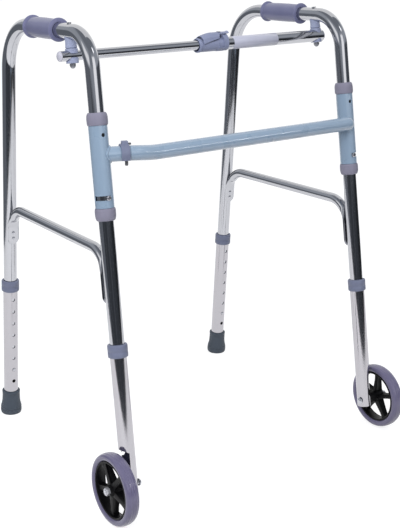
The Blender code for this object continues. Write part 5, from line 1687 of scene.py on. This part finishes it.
wire(tree,
     (tone, "Color", wall, "Color"),
     (rays, "Is Glossy Ray", mirrored, "Fac"),
     (open_air, "BSDF", mirrored, 1),
     (wall, "Emission", mirrored, 2),
     (mirrored, "Shader", add_node(tree, "ShaderNodeOutputMaterial"), "Surface"))
paint(room, walls)

world = bpy.data.worlds.new("soft_studio")
bpy.context.scene.world = world
world.use_nodes = True
tree = world.node_tree
tree.nodes.clear()
plain = add_node(tree, "ShaderNodeBackground", {"Color": world_colour, "Strength": world_strength})
white = add_node(tree, "ShaderNodeBackground", {"Color": (1.0, 1.0, 1.0, 1.0), "Strength": 1.0})
shown = add_node(tree, "ShaderNodeMixShader")
wire(tree,
     (add_seen_share(tree), "Value", shown, "Fac"),
     (plain, "Background", shown, 1),
     (white, "Background", shown, 2),
     (shown, "Shader", add_node(tree, "ShaderNodeOutputWorld"), "Surface"))

for label, (place, power) in softboxes.items():
    lamp = bpy.data.lights.new(label, "AREA")
    lamp.energy = power
    lamp.size = key_size
    light = put_in_scene(label, lamp, along(place, Vector(place) - softbox_target))
    light.visible_glossy = False

# A narrow lamp draws the one hard streak on the blue bar and the small glints on the tyres.
lamp = bpy.data.lights.new("strip_light", "AREA")
lamp.shape = "RECTANGLE"
lamp.size, lamp.size_y = strip_size
lamp.energy = strip_power
strip = put_in_scene("strip_light", lamp, along(strip_place, strip_place - strip_target, strip_across))
lit = bpy.data.collections.new("pieces_under_strip_light")
for name in sides:
    lit.objects.link(bpy.data.objects["blue_bar_" + name])
    lit.objects.link(bpy.data.objects["wheel_tyre_" + name])
strip.light_linking.receiver_collection = lit

ahead = Vector((math.sin(camera_yaw) * math.cos(camera_pitch), math.cos(camera_yaw) * math.cos(camera_pitch),
                -math.sin(camera_pitch)))
level_right = Vector((math.cos(camera_yaw), -math.sin(camera_yaw), 0.0))
level_up = level_right.cross(ahead)
right = level_right * math.cos(camera_roll) + level_up * math.sin(camera_roll)
up = level_up * math.cos(camera_roll) - level_right * math.sin(camera_roll)
lens = bpy.data.cameras.new("photograph_camera")
lens.sensor_fit = "HORIZONTAL"
lens.sensor_width = sensor_width
lens.lens = camera_focal / picture_width * sensor_width
camera_axes = Matrix((right, up, -ahead)).transposed().to_4x4()
camera_axes.translation = camera_place
bpy.context.scene.camera = put_in_scene("photograph_camera", lens, camera_axes)
bpy.context.scene.view_settings.view_transform = "Standard"
